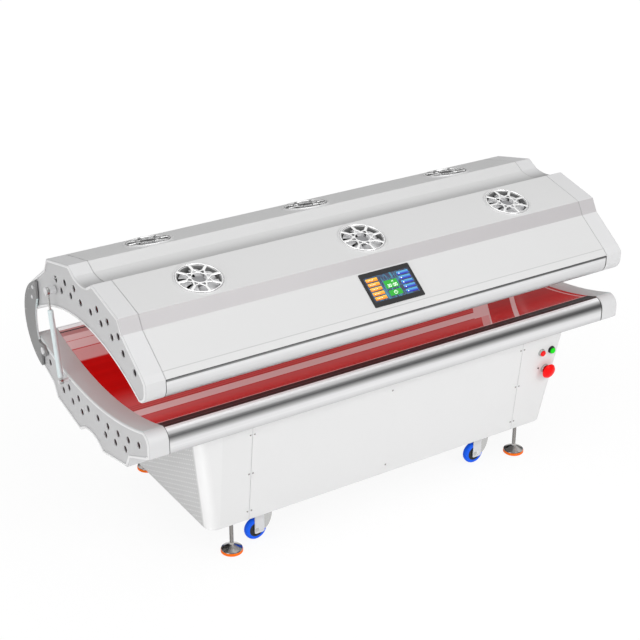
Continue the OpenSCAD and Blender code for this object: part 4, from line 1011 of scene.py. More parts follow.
def shifted(points, distance, closed=False):
    """Moves a line sideways, to its left where distance is above 0."""
    made = []
    count = len(points)
    for i in range(count):
        p = Vector(points[i])
        before = Vector(points[i - 1]) if closed or i else None
        after = Vector(points[(i + 1) % count]) if closed or i < count - 1 else None
        normals = []
        for a, b in ((before, p), (p, after)):
            if a is not None and b is not None:
                d = (b - a).normalized()
                normals.append(Vector((-d.y, d.x)))
        if len(normals) == 1:
            move = normals[0] * distance
        else:
            move = (normals[0] + normals[1]) * (distance / max(0.3, 1 + normals[0].dot(normals[1])))
        made.append((p.x + move.x, p.y + move.y))
    return made


def area(points):
    """The area inside a closed outline, above 0 where it runs anticlockwise."""
    return sum(a[0] * b[1] - b[0] * a[1] for a, b in zip(points, points[1:] + points[:1])) / 2


def inset(points, distance):
    """Draws a closed outline in by a distance."""
    return shifted(points, distance if area(points) > 0 else -distance, closed=True)


def rectangle(half_w, half_h, radius=0.0, centre=(0, 0)):
    """A closed outline, with rounded corners where radius is above 0."""
    x, y = centre
    corners = [(x + a * half_w, y + b * half_h) for a, b in ((-1, -1), (1, -1), (1, 1), (-1, 1))]
    return rounded(corners, radius, 5, closed=True) if radius else corners


# Sections of the bed, as (distance from the middle line, height)


def bowed(centre_z, way, radius, u0, u1, steps):
    """A curve from u0 to u1 round a centre, over it where way is 1 and under it where way is -1."""
    points = [u0 + (u1 - u0) * k / steps for k in range(steps + 1)]
    return [(u, centre_z + way * math.sqrt(radius ** 2 - u ** 2)) for u in points]


def valley(foot, cove, outward):
    """The round floor between two ridges, from front to rear."""
    half = foot[0]
    radius = (half * half + cove * cove) / (2 * cove)
    return bowed(foot[1] + outward * (radius - cove), -outward, radius, -half, half, 10)


def shoulder_u():
    """Distance of the canopy's shoulder from the middle line."""
    return CANOPY_HIGH.y - MIDDLE_Y + SKIN - settings("bed_canopy").shoulder


def folded(half, floor):
    """The outer line of a section, given as its rear half and the valley's floor."""
    return rounded(mirrored(half)[::-1] + floor + half, settings("bed_canopy").crease, 3)


def canopy_top():
    """The canopy's outer line, from its front face over the valley to its rear face."""
    s = settings("bed_canopy")
    top = CANOPY_HIGH.z
    face = CANOPY_HIGH.y - MIDDLE_Y
    ridge = s.valley_half + s.ridge_run
    shoulder = shoulder_u()
    half = [
        (ridge, top),
        (shoulder, top - s.shoulder_drop),
        (shoulder + s.step_run, top - s.shoulder_drop - s.step_drop),
        (face - s.fold_run, CANOPY_LOW.z + s.fold_rise),
        (face, CANOPY_LOW.z),
    ]
    return folded(half, valley((s.valley_half, top - s.ridge_rise), s.valley_cove, 1))


def canopy_section():
    """The closed outline of a canopy cap."""
    s = settings("bed_canopy")
    low = CANOPY_CAP[0].z
    face = CANOPY_HIGH.y - MIDDLE_Y
    tip = face - s.nose_radius
    nose_z = low + s.nose_radius
    centre_z = low - math.sqrt(s.tunnel_radius ** 2 - tip ** 2)
    line = canopy_top()
    nose_right = arc((tip, nose_z), s.nose_radius, 0, -90, 14)
    nose_left = arc((-tip, nose_z), s.nose_radius, -90, -180, 14)
    lean = math.degrees(math.asin(tip / s.tunnel_radius))
    tunnel = arc((0, centre_z), s.tunnel_radius, 90 - lean, 90 + lean, 60)
    return line + nose_right + tunnel[1:-1] + nose_left, centre_z


def lower_bottom():
    """The lower bed's outer line, from its front edge to its rear edge."""
    c = settings("bed_canopy")
    low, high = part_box("lower_shell")
    edge = high.y - MIDDLE_Y
    ridge = c.valley_half + c.ridge_run
    shoulder = shoulder_u()
    # The canopy's form upside down, with its shoulder 5 mm and its step 4 mm nearer to the ridge
    half = [
        (ridge, low.z),
        (shoulder, low.z + c.shoulder_drop - 0.005),
        (shoulder + c.step_run, low.z + c.shoulder_drop + c.step_drop - 0.004),
        (edge, high.z),
    ]
    return folded(half, valley((c.valley_half, low.z + c.ridge_rise), c.valley_cove, -1))


def lower_nose():
    """The lower rail's outer line, from the bed's tip down to its lower corner."""
    s = settings("bed_lower")
    low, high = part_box("lower_rails")
    half = high.y - MIDDLE_Y
    tip = half - s.nose_radius
    top = LOWER_CAP[1].z
    corner_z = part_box("lower_shell")[1].z + SKIN + s.corner
    return (arc((tip, top - s.nose_radius), s.nose_radius, 90, 0, 14)
            + arc((half - s.corner, corner_z), s.corner, 0, -90, 6))


def lower_section():
    """The closed outline of a lower cap."""
    s = settings("bed_lower")
    nose = lower_nose()
    tip, top = nose[0]
    centre_z = top + math.sqrt(s.bed_radius ** 2 - tip ** 2)
    lean = math.degrees(math.asin(tip / s.bed_radius))
    bed = arc((0, centre_z), s.bed_radius, -90 + lean, -90 - lean, 60)
    return bed[1:-1] + mirrored(nose) + lower_bottom() + nose[::-1], centre_z


# Places on the bed's panels

KEY_PITCH = 0.0187
FAN_X = middle("fan_rotor_front_left").x
FAN_XS = {"left": FAN_X, "middle": 0.0, "right": -FAN_X}


def fan_place(x, face):
    """The plane of a fan's panel, with Z standing out of it."""
    s = settings("bed_canopy")
    ridge = s.valley_half + s.ridge_run
    shoulder = shoulder_u()
    tilt = math.atan2(s.shoulder_drop, shoulder - ridge)
    origin = Vector((x, MIDDLE_Y + face * (ridge + shoulder) / 2, CANOPY_HIGH.z - s.shoulder_drop / 2))
    return Matrix.Translation(origin) @ Matrix.Rotation(-face * tilt, 4, "X")


def display_place():
    """The plane of the canopy's front panel at the display, with Z standing out of it."""
    s = settings("bed_canopy")
    face = CANOPY_HIGH.y - MIDDLE_Y
    inner = shoulder_u() + s.step_run
    high = CANOPY_HIGH.z - s.shoulder_drop - s.step_drop
    outer, low = face - s.fold_run, CANOPY_LOW.z + s.fold_rise
    slope = (high - low) / (outer - inner)
    u = (inner + outer) / 2 - 0.003
    origin = Vector((0, MIDDLE_Y - u, high - (u - inner) * slope))
    return Matrix.Translation(origin) @ Matrix.Rotation(math.atan(slope), 4, "X")


def front_place(x, z, face=-1):
    """The plane of the cabinet's front or rear at a point, with Z standing out of it."""
    c = settings("bed_cabinet")
    u = c.half_depth + c.front_lean * (z - CABINET[0].z)
    lean = math.atan(c.front_lean)
    turn = Matrix.Rotation(math.pi, 4, "Z") if face > 0 else Matrix()
    place = Matrix.Translation((-face * x, -u, z)) @ Matrix.Rotation(math.pi / 2 + lean, 4, "X")
    return Matrix.Translation((0, MIDDLE_Y, 0)) @ turn @ place


def strut_place(side):
    """The line of a gas spring, with Z along it and its lower stud at the origin."""
    h = settings("bed_hinge")
    x = middle("strut_cylinder_right").x
    low, top = Vector(h.low_stud), Vector(h.top_stud)
    lean = math.atan2(top.x - low.x, top.y - low.y)
    return Matrix.Translation(across(side * x, low)) @ Matrix.Rotation(-lean, 4, "X"), (top - low).length


# Pieces


def dress(nodes, finish):
    """Gives CAD nodes that stay a finish."""
    for node in nodes:
        mesh = frame["nodes"][node].data
        mesh.materials.clear()
        mesh.materials.append(finish_of(finish))


def end_cap(part, end, outline, holes, body):
    """A hollow cap with a rounded edge, a raised rim round its face and vent holes."""
    t = settings("bed_trim")
    node = part + "_cap_" + end
    side = ENDS[end]
    low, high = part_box(node)
    seam_x, face_x = (high.x, low.x) if side < 0 else (low.x, high.x)
    soft = 0.0018
    form = Form()

    def at(x, points):
        return [Vector((x, MIDDLE_Y + u, z)) for u, z in points]

    def behind(depth, inward):
        """The outline at a depth behind the cap's outermost face, drawn in."""
        return at(face_x - side * depth, inset(outline, inward))

    # A tongue in the skin's end, a narrow groove at the seam, then the cap's own edge and rim
    rows = [
        at(seam_x - side * 0.004, inset(outline, 0.0045)),
        at(seam_x + side * 0.0002, inset(outline, 0.0040)),
        at(seam_x + side * 0.0004, inset(outline, 0.0006)),
        at(seam_x + side * 0.001, outline),
    ]
    for a in quarter(6):
        rows.append(behind(t.cap_edge * (1 - math.sin(a)), t.cap_edge * (1 - math.cos(a))))
    for a in quarter(3):
        rows.append(behind(soft * (1 - math.cos(a)), t.rim_width - soft + soft * math.sin(a)))
    for a in quarter(3):
        rows.append(behind(t.rim_depth - soft + soft * math.sin(a), t.rim_width + soft * (1 - math.cos(a))))
    loops = [form.loft(rows)[-1]]
    face = face_x - side * t.rim_depth
    for hole in holes:
        lip = form.loft([at(face, circle(hole, t.vent / 2 + 0.0008)),
                         at(face - side * 0.0008, circle(hole, t.vent / 2)),
                         at(face - side * 0.004, circle(hole, t.vent / 2))])
        loops.append(lip[0])
    form.plate(loops)
    form.piece(part + "_cap_moulding_" + end, part + "_cap", body, (node,), "cap_white", 40)


def vents(centre_z, way, row, outer, last, shift, spread):
    """Centres of a cap's vent holes: a row along the inner curve, and six holes farther out."""
    t = settings("bed_trim")
    spots = [(i * t.vent_pitch + shift, row) for i in range(-5, last)]
    for i in (-3, -2, -1, 1, 2, 3):
        spots.append((i * (t.vent_pitch - 0.002) - (0.041 if i < 0 else spread), outer))
    return [(u, centre_z + way * math.sqrt(radius ** 2 - u ** 2)) for u, radius in spots]


class Built(Operator):
    """Shared by every step that builds pieces."""

    bl_options = {"REGISTER", "UNDO"}

    def execute(self, context):
        self.build(context)
        return {"FINISHED"}


class BED_OT_dress_nodes(Built):
    """Gives every CAD node that stays its finish"""

    bl_idname = "bed.dress_nodes"
    bl_label = "Finishes of CAD nodes"

    def build(self, context):
        for finish, nodes in NODE_FINISHES.items():
            dress(nodes, finish)
        for start, finish in GROUP_FINISHES.items():
            dress([node for node in frame["nodes"] if node.startswith(start)], finish)


class BED_OT_end_caps(Built):
    """Builds the moulded caps at both ends of the canopy and of the lower bed"""

    bl_idname = "bed.end_caps"
    bl_label = "End caps"

    def build(self, context):
        canopy, canopy_centre = canopy_section()
        lower, lower_centre = lower_section()
        arch = settings("bed_canopy").tunnel_radius
        bed = settings("bed_lower").bed_radius
        canopy_holes = vents(
            canopy_centre, 1, row=arch + 0.071, outer=arch + 0.107, last=3, shift=0.014, spread=0.016)
        lower_holes = vents(
            lower_centre, -1, row=bed + 0.056, outer=bed + 0.097, last=5, shift=0.018, spread=0.004)
        for end in ENDS:
            end_cap("canopy", end, canopy, canopy_holes, "canopy")
            end_cap("lower", end, lower, lower_holes, "base")


def bed_arc(radius, u0, u1, steps):
    """The lying surface's line at a radius."""
    return bowed(lower_section()[1], -1, radius, u0, u1, steps)


def tunnel_arc(radius, u0, u1, steps):
    """The canopy's inner line at a radius."""
    return bowed(canopy_section()[1], 1, radius, u0, u1, steps)


class BED_OT_skins(Built):
    """Builds the folded skins of the canopy and of the lower bed"""

    bl_idname = "bed.skins"
    bl_label = "Skins"

    def build(self, context):
        self.canopy()
        self.lower()

    def canopy(self):
        line = canopy_top()
        edge = line[-1]
        line = [(-edge[0] + 0.006, edge[1])] + line + [(edge[0] - 0.006, edge[1])]
        form = Form()
        rows = [form.row([across(x, p) for p in line]) for x in (CANOPY_LOW.x, CANOPY_HIGH.x)]
        for i in range(len(line) - 1):
            span = Vector(line[i + 1]) - Vector(line[i])
            corners = [rows[0][i], rows[0][i + 1], rows[1][i + 1], rows[1][i]]
            holes = []
            # Only wide panels have openings: a fan panel three, and the front panel one for the display
            if span.length > 0.12:
                middle_u = (line[i][0] + line[i + 1][0]) / 2
                if abs(middle_u) < 0.25:
                    face = math.copysign(1, middle_u)
                    holes = [self.bead(form, fan_place(x, face)) for x in FAN_XS.values()]
                elif middle_u < 0:
                    holes = [self.opening(form)]
            if holes:
                form.plate([corners, *holes])
            else:
                form.face(corners)
        form.piece("canopy_skin", "canopy", "canopy", ("canopy_shell",), "shell_white", 50, outward=(0, 0, 1))

    def bead(self, form, place):
        """A fan's opening and the bead pressed round it; returns its outermost ring."""
        t = settings("bed_trim")
        out = t.fan_ring + 0.0090
        profile = [(out + 0.0012, 0), (out, 0.0003), (out - 0.0012, 0.0013), (out - 0.0026, t.bead * 0.9),
                   (out - 0.0042, t.bead), (out - 0.0060, t.bead * 0.9), (out - 0.0074, 0.0013),
                   (out - 0.0082, 0.0002), (out - 0.0088, 0), (0.0756, 0), (0.0750, -0.0006),
                   (0.0750, -0.0020)]
        return form.lathe(profile, place, 96)[0]

    def opening(self, form):
        t = settings("bed_trim")
        place = display_place()
        shape = rectangle(t.display_width / 2 - 0.006, t.display_height / 2 - 0.006)
        return form.loft([[place @ Vector((*p, h)) for p in shape] for h in (0, -0.002)])[0]

    def lower(self):
        low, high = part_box("lower_shell")
        line = lower_bottom()
        edge = line[-1]
        line = [(-edge[0] + 0.004, edge[1])] + line + [(edge[0] - 0.004, edge[1])]
        form = Form()
        form.loft([[across(x, p) for p in line] for x in (low.x, high.x)], closed=False)
        form.piece("lower_skin", "shell", "base", ("lower_shell",), "shell_white", 50, outward=(0, 0, -1))


class BED_OT_rails(Built):
    """Builds the brushed rails along the canopy and the lower bed"""

    bl_idname = "bed.rails"
    bl_label = "Rails"

    def build(self, context):
        self.both("canopy_rail_profiles", "canopy_rail", self.canopy_line(), "canopy", "canopy_rails")
        self.both("lower_rail_profiles", "lower_rail", self.lower_line(), "base", "lower_rails")

    def both(self, name, finish, line, body, node):
        low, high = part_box(node)
        form = Form()
        outline = bent(line, 0.003)
        form.run(outline, low.x, high.x)
        form.run(mirrored(outline), low.x, high.x)
        form.piece(name, finish, body, (node,), "rail_aluminium", 35)

    def canopy_line(self):
        s = settings("bed_canopy")
        low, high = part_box("canopy_rails")
        face = high.y - MIDDLE_Y
        tip = face - s.nose_radius
        edge = tunnel_arc(s.tunnel_radius + 0.0005, tip - 0.024, tip, 4)
        nose = arc((tip, low.z + s.nose_radius), s.nose_radius, -90, 0, 36)
        upper = arc((face - 0.006, high.z - 0.006), 0.006, 0, 90, 10)
        return edge + nose[1:] + upper + [(face - 0.014, high.z)]

    def lower_line(self):
        s = settings("bed_lower")
        low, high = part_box("lower_rails")
        half = high.y - MIDDLE_Y
        tip = half - s.nose_radius
        top = LOWER_CAP[1].z
        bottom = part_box("lower_shell")[1].z + SKIN
        edge = bed_arc(s.bed_radius + 0.0005, tip - 0.012, tip, 4)
        nose = arc((tip, top - s.nose_radius), s.nose_radius, 90, 0, 36)
        corner = arc((half - s.corner, bottom + s.corner), s.corner, 0, -90, 8)
        line = edge + nose[1:] + corner + [(tip, bottom)]
        return line[::-1]


class BED_OT_sheets(Built):
    """Builds the clear sheets that are lain on and that cover the canopy's lamps"""

    bl_idname = "bed.sheets"
    bl_label = "Clear sheets"

    def build(self, context):
        s = settings("bed_lower")
        low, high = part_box("bed_sheet")
        half = (high.y - low.y) / 2
        form = Form()
        form.run(bent(bed_arc(s.bed_radius + 0.001, -half, half, 72), -s.sheet), low.x, high.x)
        form.piece("lying_sheet", "red", "base", ("bed_sheet",), "clear_red", 40)
        low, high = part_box("canopy_sheet")
        half = (high.y - low.y) / 2
        radius = settings("bed_canopy").tunnel_radius + 0.0033
        form = Form()
        form.run(bent(tunnel_arc(radius, -half, half, 72), 0.005), low.x, high.x)
        form.piece("tunnel_sheet", "canopy_red", "canopy", ("canopy_sheet",), "clear_red", 40)


class BED_OT_fans(Built):
    """Builds the fan grilles and the rotors under them"""

    bl_idname = "bed.fans"
    bl_label = "Fans"

    def build(self, context):
        places = {"%s_%s" % (row, column): fan_place(x, face)
                  for row, face in FACES.items() for column, x in FAN_XS.items()}
        grilles, filters = Form(), Form()
        wide, hole, top, foot = 0.0725, 0.0035, -0.0385, -0.0395
        for place in places.values():
            self.grille(grilles, place)
            filters.lathe([(wide, top), (wide, foot), (hole, foot), (hole, top)], place, 64, closed=True)
        grilles.piece("fan_grille_stars", "chrome", "canopy", ("fan_grilles",), "grille_chrome", 50)
        filters.piece("fan_filters", "filter", "canopy", slot="black_plastic", sharp=50)
        for name, place in places.items():
            self.rotor(name, place)

    def grille(self, form, place):
        t = settings("bed_trim")
        out, rim = t.fan_ring, 0.006
        ring = [(out - 0.0002, 0.0002), (out, 0.002), (out - 0.0010, 0.0037), (out - 0.003, 0.0042),
                (out - rim + 0.0010, 0.0037), (out - rim, 0.002), (out - rim + 0.0002, 0.0002)]
        form.lathe(ring, place, 96, closed=True)
        lifted = place @ Matrix.Translation((0, 0, 0.0024))
        fork, hub, inner = 0.050, 0.033, 0.0295
        for i in range(t.spokes):
            a = 2 * math.pi * i / t.spokes
            way = Vector((math.cos(a), math.sin(a)))
            form.bar(way * (fork - 0.001), way * (out - rim + 0.001), 0.0115, 0.0036, lifted)
            for turn in SIDES:
                b = a + turn * math.pi / t.spokes
                node = Vector((math.cos(b), math.sin(b))) * hub
                form.bar(way * fork, node + (node - way * fork) * 0.28, 0.0062, 0.0030, lifted)
        form.lathe([(inner - 0.0036, -0.0008), (inner - 0.0036, 0.0010), (inner - 0.0026, 0.0016),
                    (inner - 0.0008, 0.0016), (inner, 0.0010), (inner, -0.0008)], lifted, 64, closed=True)

    def rotor(self, name, place):
        t = settings("bed_trim")
        node = "fan_rotor_" + name
        hub = 0.026
        form = Form()
        for i in range(t.blades):
            self.blade(form, place, 2 * math.pi * i / t.blades, hub - 0.002, 0.069)
        form.piece("blades_" + name, "fan", node, (node,), "black_plastic", 40)
        form = Form()
        profile = [(0.0001, -0.0102), (0.012, -0.0102), (0.0128, -0.0095), (0.022, -0.0093),
                   (0.0245, -0.0098), (0.0258, -0.0115), (hub, -0.014), (hub, -0.0325), (0.0001, -0.0325)]
        form.lathe(profile, place, 48)
        form.lathe([(0.003, -0.032), (0.003, -0.0395), (0.0001, -0.0395)], place, 16)
        form.piece("hub_" + name, "hub", node, slot="black_plastic", sharp=40)

    def blade(self, form, place, start, root, tip):
        """One swept and twisted blade with a cambered section."""
        rows = []
        for k in range(9):
            share = k / 8
            radius = root + (tip - root) * share
            chord = 0.030 + 0.036 * share - 0.009 * max(0.0, share - 0.8) * 5
            pitch = math.radians(30 - 14 * share)
            lead = start + 0.35 * share
            level = -0.0215
            upper, under = [], []
            for j in range(7):
                s = j / 6 - 0.5
                bow = 0.16 * chord * (0.25 - s * s) * 4
                for side, sheet in ((0.0009, upper), (-0.0009, under)):
                    rise = bow + side * (1 - (2 * s) ** 4 * 0.7)
                    angle = lead + (s * chord * math.cos(pitch) - rise * math.sin(pitch)) / radius
                    height = level + s * chord * math.sin(pitch) * 0.9 + rise * math.cos(pitch)
                    sheet.append(place @ Vector((radius * math.cos(angle), radius * math.sin(angle), height)))
            rows.append(upper + under[::-1])
        form.solid(rows)


# Lit segments of the figures that the display shows
SEGMENTS = {"0": "abcdef", "1": "bc", "3": "abgcd"}


class BED_OT_display(Built):
    """Builds the display's frame, its glass and what it shows"""

    bl_idname = "bed.display"
    bl_label = "Display"

    def build(self, context):
        t = settings("bed_trim")
        place = display_place()
        half_w, half_h = t.display_width / 2, t.display_height / 2
        glass_w, glass_h = t.screen_width / 2, t.screen_height / 2
        proud = t.display_proud
        form = Form()
        rows = []
        for d, h in ((0, 0.0001), (0, proud - 0.0008), (0.0003, proud - 0.0002), (0.0010, proud)):
            rows.append([place @ Vector((*p, h)) for p in rectangle(half_w - d, half_h - d, 0.004)])
        for d, h in ((0.0006, proud), (0.0002, proud - 0.0003), (0, proud - 0.0008), (0, proud - 0.0022)):
            rows.append([place @ Vector((*p, h)) for p in rectangle(glass_w + d, glass_h + d, 0.0015)])
        form.loft(rows)
        back = rectangle(half_w - 0.0063, half_h - 0.0063, 0.002)
        form.slab(back, -0.022, 0.0002, place)
        form.piece("display_bezel", "bezel", "canopy", ("display_frame",), "display_black", 40)
        form = Form()
        pane = rectangle(glass_w - 0.0001, glass_h - 0.0001, 0.0012)
        form.slab(pane, proud - 0.002, proud - 0.0006, place, 0.0002)
        form.piece("display_pane", "screen", "canopy", ("display_screen",), "display_glass", 40)
        face = place @ Matrix.Translation((0, 0, proud - 0.0006))
        self.keys(face, glass_w)
        self.fields(face)

    def mark(self, form, face, outline, low=0.0002, high=0.0005):
        """A thin flat mark on the glass."""
        form.slab(outline, low, high, face, 0.0001, 1)

    def keys(self, face, glass_w):
        shape = rectangle(0.0240, 0.0068, 0.0018)
        rows = [KEY_PITCH * (k - 2) for k in range(5)]
        out = glass_w - 0.029
        for name, finish, x in (("left", "amber_key", -out), ("right", "blue_key", out)):
            form = Form()
            for y in rows:
                self.mark(form, face, [(x + p[0], y + p[1]) for p in shape], -0.0001, 0.0003)
            form.piece("display_keys_" + name, finish, "canopy", slot="display_glass")
        form = Form()
        for y in rows:
            self.mark(form, face, circle((glass_w - 0.044, y - 0.001), 0.0020, 16))
            for k in range(4):
                dash = rectangle(0.0017, 0.0008, 0.0, (0.015 + 0.006 * k - glass_w, y))
                self.mark(form, face, dash, high=0.0004)
        form.piece("display_marks", "lettering", "canopy", slot="display_glass")

    def fields(self, face):
        form = Form()
        self.mark(form, face, rectangle(0.0270, 0.0162, 0.003, (0.001, 0.0053)), -0.0001, 0.0003)
        self.mark(form, face, rectangle(0.0262, 0.0110, 0.003, (0.001, -0.0300)), -0.0001, 0.0003)
        form.piece("display_fields", "green_field", "canopy", slot="display_glass")
        form = Form()
        self.figures(form, face, "30:00", (0.002, -0.0005), 0.0105)
        self.figures(form, face, "100", (0.008, 0.0145), 0.0042)
        ring = face @ Matrix.Translation((0.001, -0.0300, 0))
        form.lathe([(0.0072, 0.0002), (0.0072, 0.0005), (0.0058, 0.0005), (0.0058, 0.0002)], ring, 32)
        self.mark(form, face, rectangle(0.0007, 0.0034, 0.0, (0.001, -0.0285)))
        form.piece("display_figures", "lettering", "canopy", slot="display_glass")

    def figures(self, form, face, text, centre, height):
        """Seven segment figures."""
        w, h, bar = height * 0.25, height / 2, height * 0.07
        places = {"a": ((0, h), True), "d": ((0, -h), True), "g": ((0, 0), True), "b": ((w, h / 2), False),
                  "c": ((w, -h / 2), False), "e": ((-w, -h / 2), False), "f": ((-w, h / 2), False)}
        pitch = height * 0.78
        x = centre[0] - pitch * (len(text) - 1) / 2
        for sign in text:
            if sign == ":":
                for y in (h / 2, -h / 2):
                    self.mark(form, face, rectangle(bar, bar, 0.0, (x, centre[1] + y)))
            for key in SEGMENTS.get(sign, ""):
                (u, v), level = places[key]
                size = (w, bar) if level else (bar, h / 2)
                self.mark(form, face, rectangle(*size, 0.0, (x + u, centre[1] + v)))
            x += pitch


class BED_OT_cabinet(Built):
    """Builds the cabinet's bent sheets and their screws"""

    bl_idname = "bed.cabinet"
    bl_label = "Cabinet"

    def build(self, context):
        self.belly = sorted(shifted(lower_bottom(), -0.0008))
        for name, face in FACES.items():
            self.sheet(name, self.front(face), "cabinet", "cabinet_" + name, (0, face, 0))
        for name, side in ENDS.items():
            self.sheet(name, self.end(side), "perforated", "cabinet_end_" + name, (side, 0, 0))
        self.screws()

    def top(self, u):
        """Height at which the cabinet meets the lower skin."""
        for a, b in zip(self.belly, self.belly[1:]):
            if a[0] <= u <= b[0] and b[0] > a[0]:
                return a[1] + (b[1] - a[1]) * (u - a[0]) / (b[0] - a[0])
        return self.belly[-1][1]

    def half(self, z, d):
        c = settings("bed_cabinet")
        rise = z - CABINET[0].z
        return c.half_length + c.end_lean * rise - d, c.half_depth + c.front_lean * rise - d

    def front(self, face):
        c = settings("bed_cabinet")
        edge = c.seam - 0.00025

        def outline(z, d):
            y = face * self.half(z, d)[1]
            half = [(edge - 0.001, y), (edge - 0.0002, y - face * 0.0006), (edge - 0.001, y - face * 0.0016)]
            return mirrored(half)[::-1] + half
        return outline

    def end(self, side):
        c = settings("bed_cabinet")
        seam = c.seam + 0.00025
        flat = c.half_depth - c.corner
        stops = [k / 48 for k in range(49)]

        def outline(z, d):
            x, y = self.half(z, d)
            r = c.corner - d
            corner = arc((x - r, y - r), r, 90, 0, 12)
            front = [(seam + 0.001, y - 0.0016), (seam + 0.0002, y - 0.0006), (seam + 0.001, y)]
            half = front + corner
            across_flat = [(x, (y - r) * (1 - 2 * s)) for s in stops[1:-1]]
            points = half + across_flat + [(a, -b) for a, b in reversed(half)]
            return [(side * a, b) for a, b in points]
        return outline

    def sheet(self, name, outline, finish, node, way):
        c = settings("bed_cabinet")
        low = CABINET[0].z
        form = Form()
        rows = []
        for d, z in ((c.flange, low), (0.0020, low), (0.0006, low + 0.0006), (0.0, low + 0.002)):
            rows.append([Vector((x, MIDDLE_Y + y, z)) for x, y in outline(z, d)])
        steps = 6
        # Each point's upper end, where the leaning sheet meets the lower skin, is found in four rounds
        ends = []
        for i in range(len(outline(low, 0))):
            z = low + 0.3
            for _ in range(4):
                z = self.top(outline(z, 0)[i][1])
            ends.append(z)
        for k in range(1, steps + 1):
            row = []
            for i, end in enumerate(ends):
                z = low + 0.002 + (end - low - 0.002) * k / steps
                x, y = outline(z, 0)[i]
                row.append(Vector((x, MIDDLE_Y + y, z)))
            rows.append(row)
        form.loft(rows, closed=False)
        form.piece("cabinet_sheet_" + name, finish, "base", (node,), "cabinet_white", 40, outward=way)

    def screws(self):
        c = settings("bed_cabinet")
        form = Form()
        r = c.screw
        head = [(r, 0.0001), (r, 0.0006), (r * 0.8, 0.0013), (r * 0.45, 0.0017), (r * 0.4, 0.0011),
                (0.0001, 0.0011)]
        for face in FACES.values():
            for z in (0.170, 0.331, 0.494):
                for side in SIDES:
                    for step in (-0.008, 0.008):
                        form.lathe(head, front_place(side * c.seam + step, z, face), 16)
            for z in (0.171, 0.496):
                form.lathe(head, front_place(-0.010, z, face), 16)
        form.piece("cabinet_screw_heads", "dark_steel", "base", ("cabinet_screws",), "pin_steel", 40)


class BED_OT_controls(Built):
    """Builds the two push buttons and the emergency stop"""

    bl_idname = "bed.controls"
    bl_label = "Controls"

    def build(self, context):
        red, green, stop = (middle(node) for node in ("red_button", "green_button", "estop_head"))
        height, stop_height = 0.457, 0.378
        self.bezel("red_button_bezel", "steel", front_place(red.x, height), ("control_bezels",))
        self.bezel("green_button_bezel", "black", front_place(green.x, height), ())
        for node, finish, slot, x in (("red_button", "stop", "red_plastic", red.x),
                                      ("green_button", "start", "green_plastic", green.x)):
            turned([(0.0069, -0.012), (0.0069, 0.0003), (0.0112, 0.0003), (0.0113, 0.0125),
                    (0.0108, 0.0136), (0.0098, 0.0140), (0.0050, 0.0137), (0.0001, 0.0136)],
                   front_place(x, height), 40, node + "_cap", finish, node, (node,), slot, 40)
        place = front_place(stop.x, stop_height)
        turned([(0.0190, 0.0001), (0.0190, 0.0070), (0.0180, 0.0088), (0.0165, 0.0090), (0.0072, 0.0090),
                (0.0072, 0.0020)], place, 48, "estop_collar", "steel", "base", slot="bezel_metal", sharp=40)
        dome = [(0.042 * math.sin(a), -0.0017 + 0.042 * math.cos(a))
                for a in (math.radians(4.4 * k) for k in range(1, 10))]
        turned([(0.0001, 0.0070), (0.0069, 0.0070), (0.0069, 0.0143), (0.0160, 0.0143), (0.0215, 0.0235),
                (0.0285, 0.0243), (0.0299, 0.0252), *reversed(dome), (0.0001, 0.0403)],
               place, 64, "estop_mushroom", "stop", "estop_head", ("estop_head",), "red_plastic", 40)
        turned([(0.0035, 0.0001), (0.0035, 0.0012), (0.0001, 0.0014)],
               front_place(red.x - 0.004, 0.387), 20, "key_dot", "black", "base", slot="bezel_metal")

    def bezel(self, name, finish, place, replaces):
        turned([(0.0150, 0.0001), (0.0150, 0.0022), (0.0138, 0.0030), (0.0136, 0.0085), (0.0130, 0.0096),
                (0.0120, 0.0097), (0.0116, 0.0086), (0.0116, -0.0030)],
               place, 48, name, finish, "base", replaces, "bezel_metal", 40)


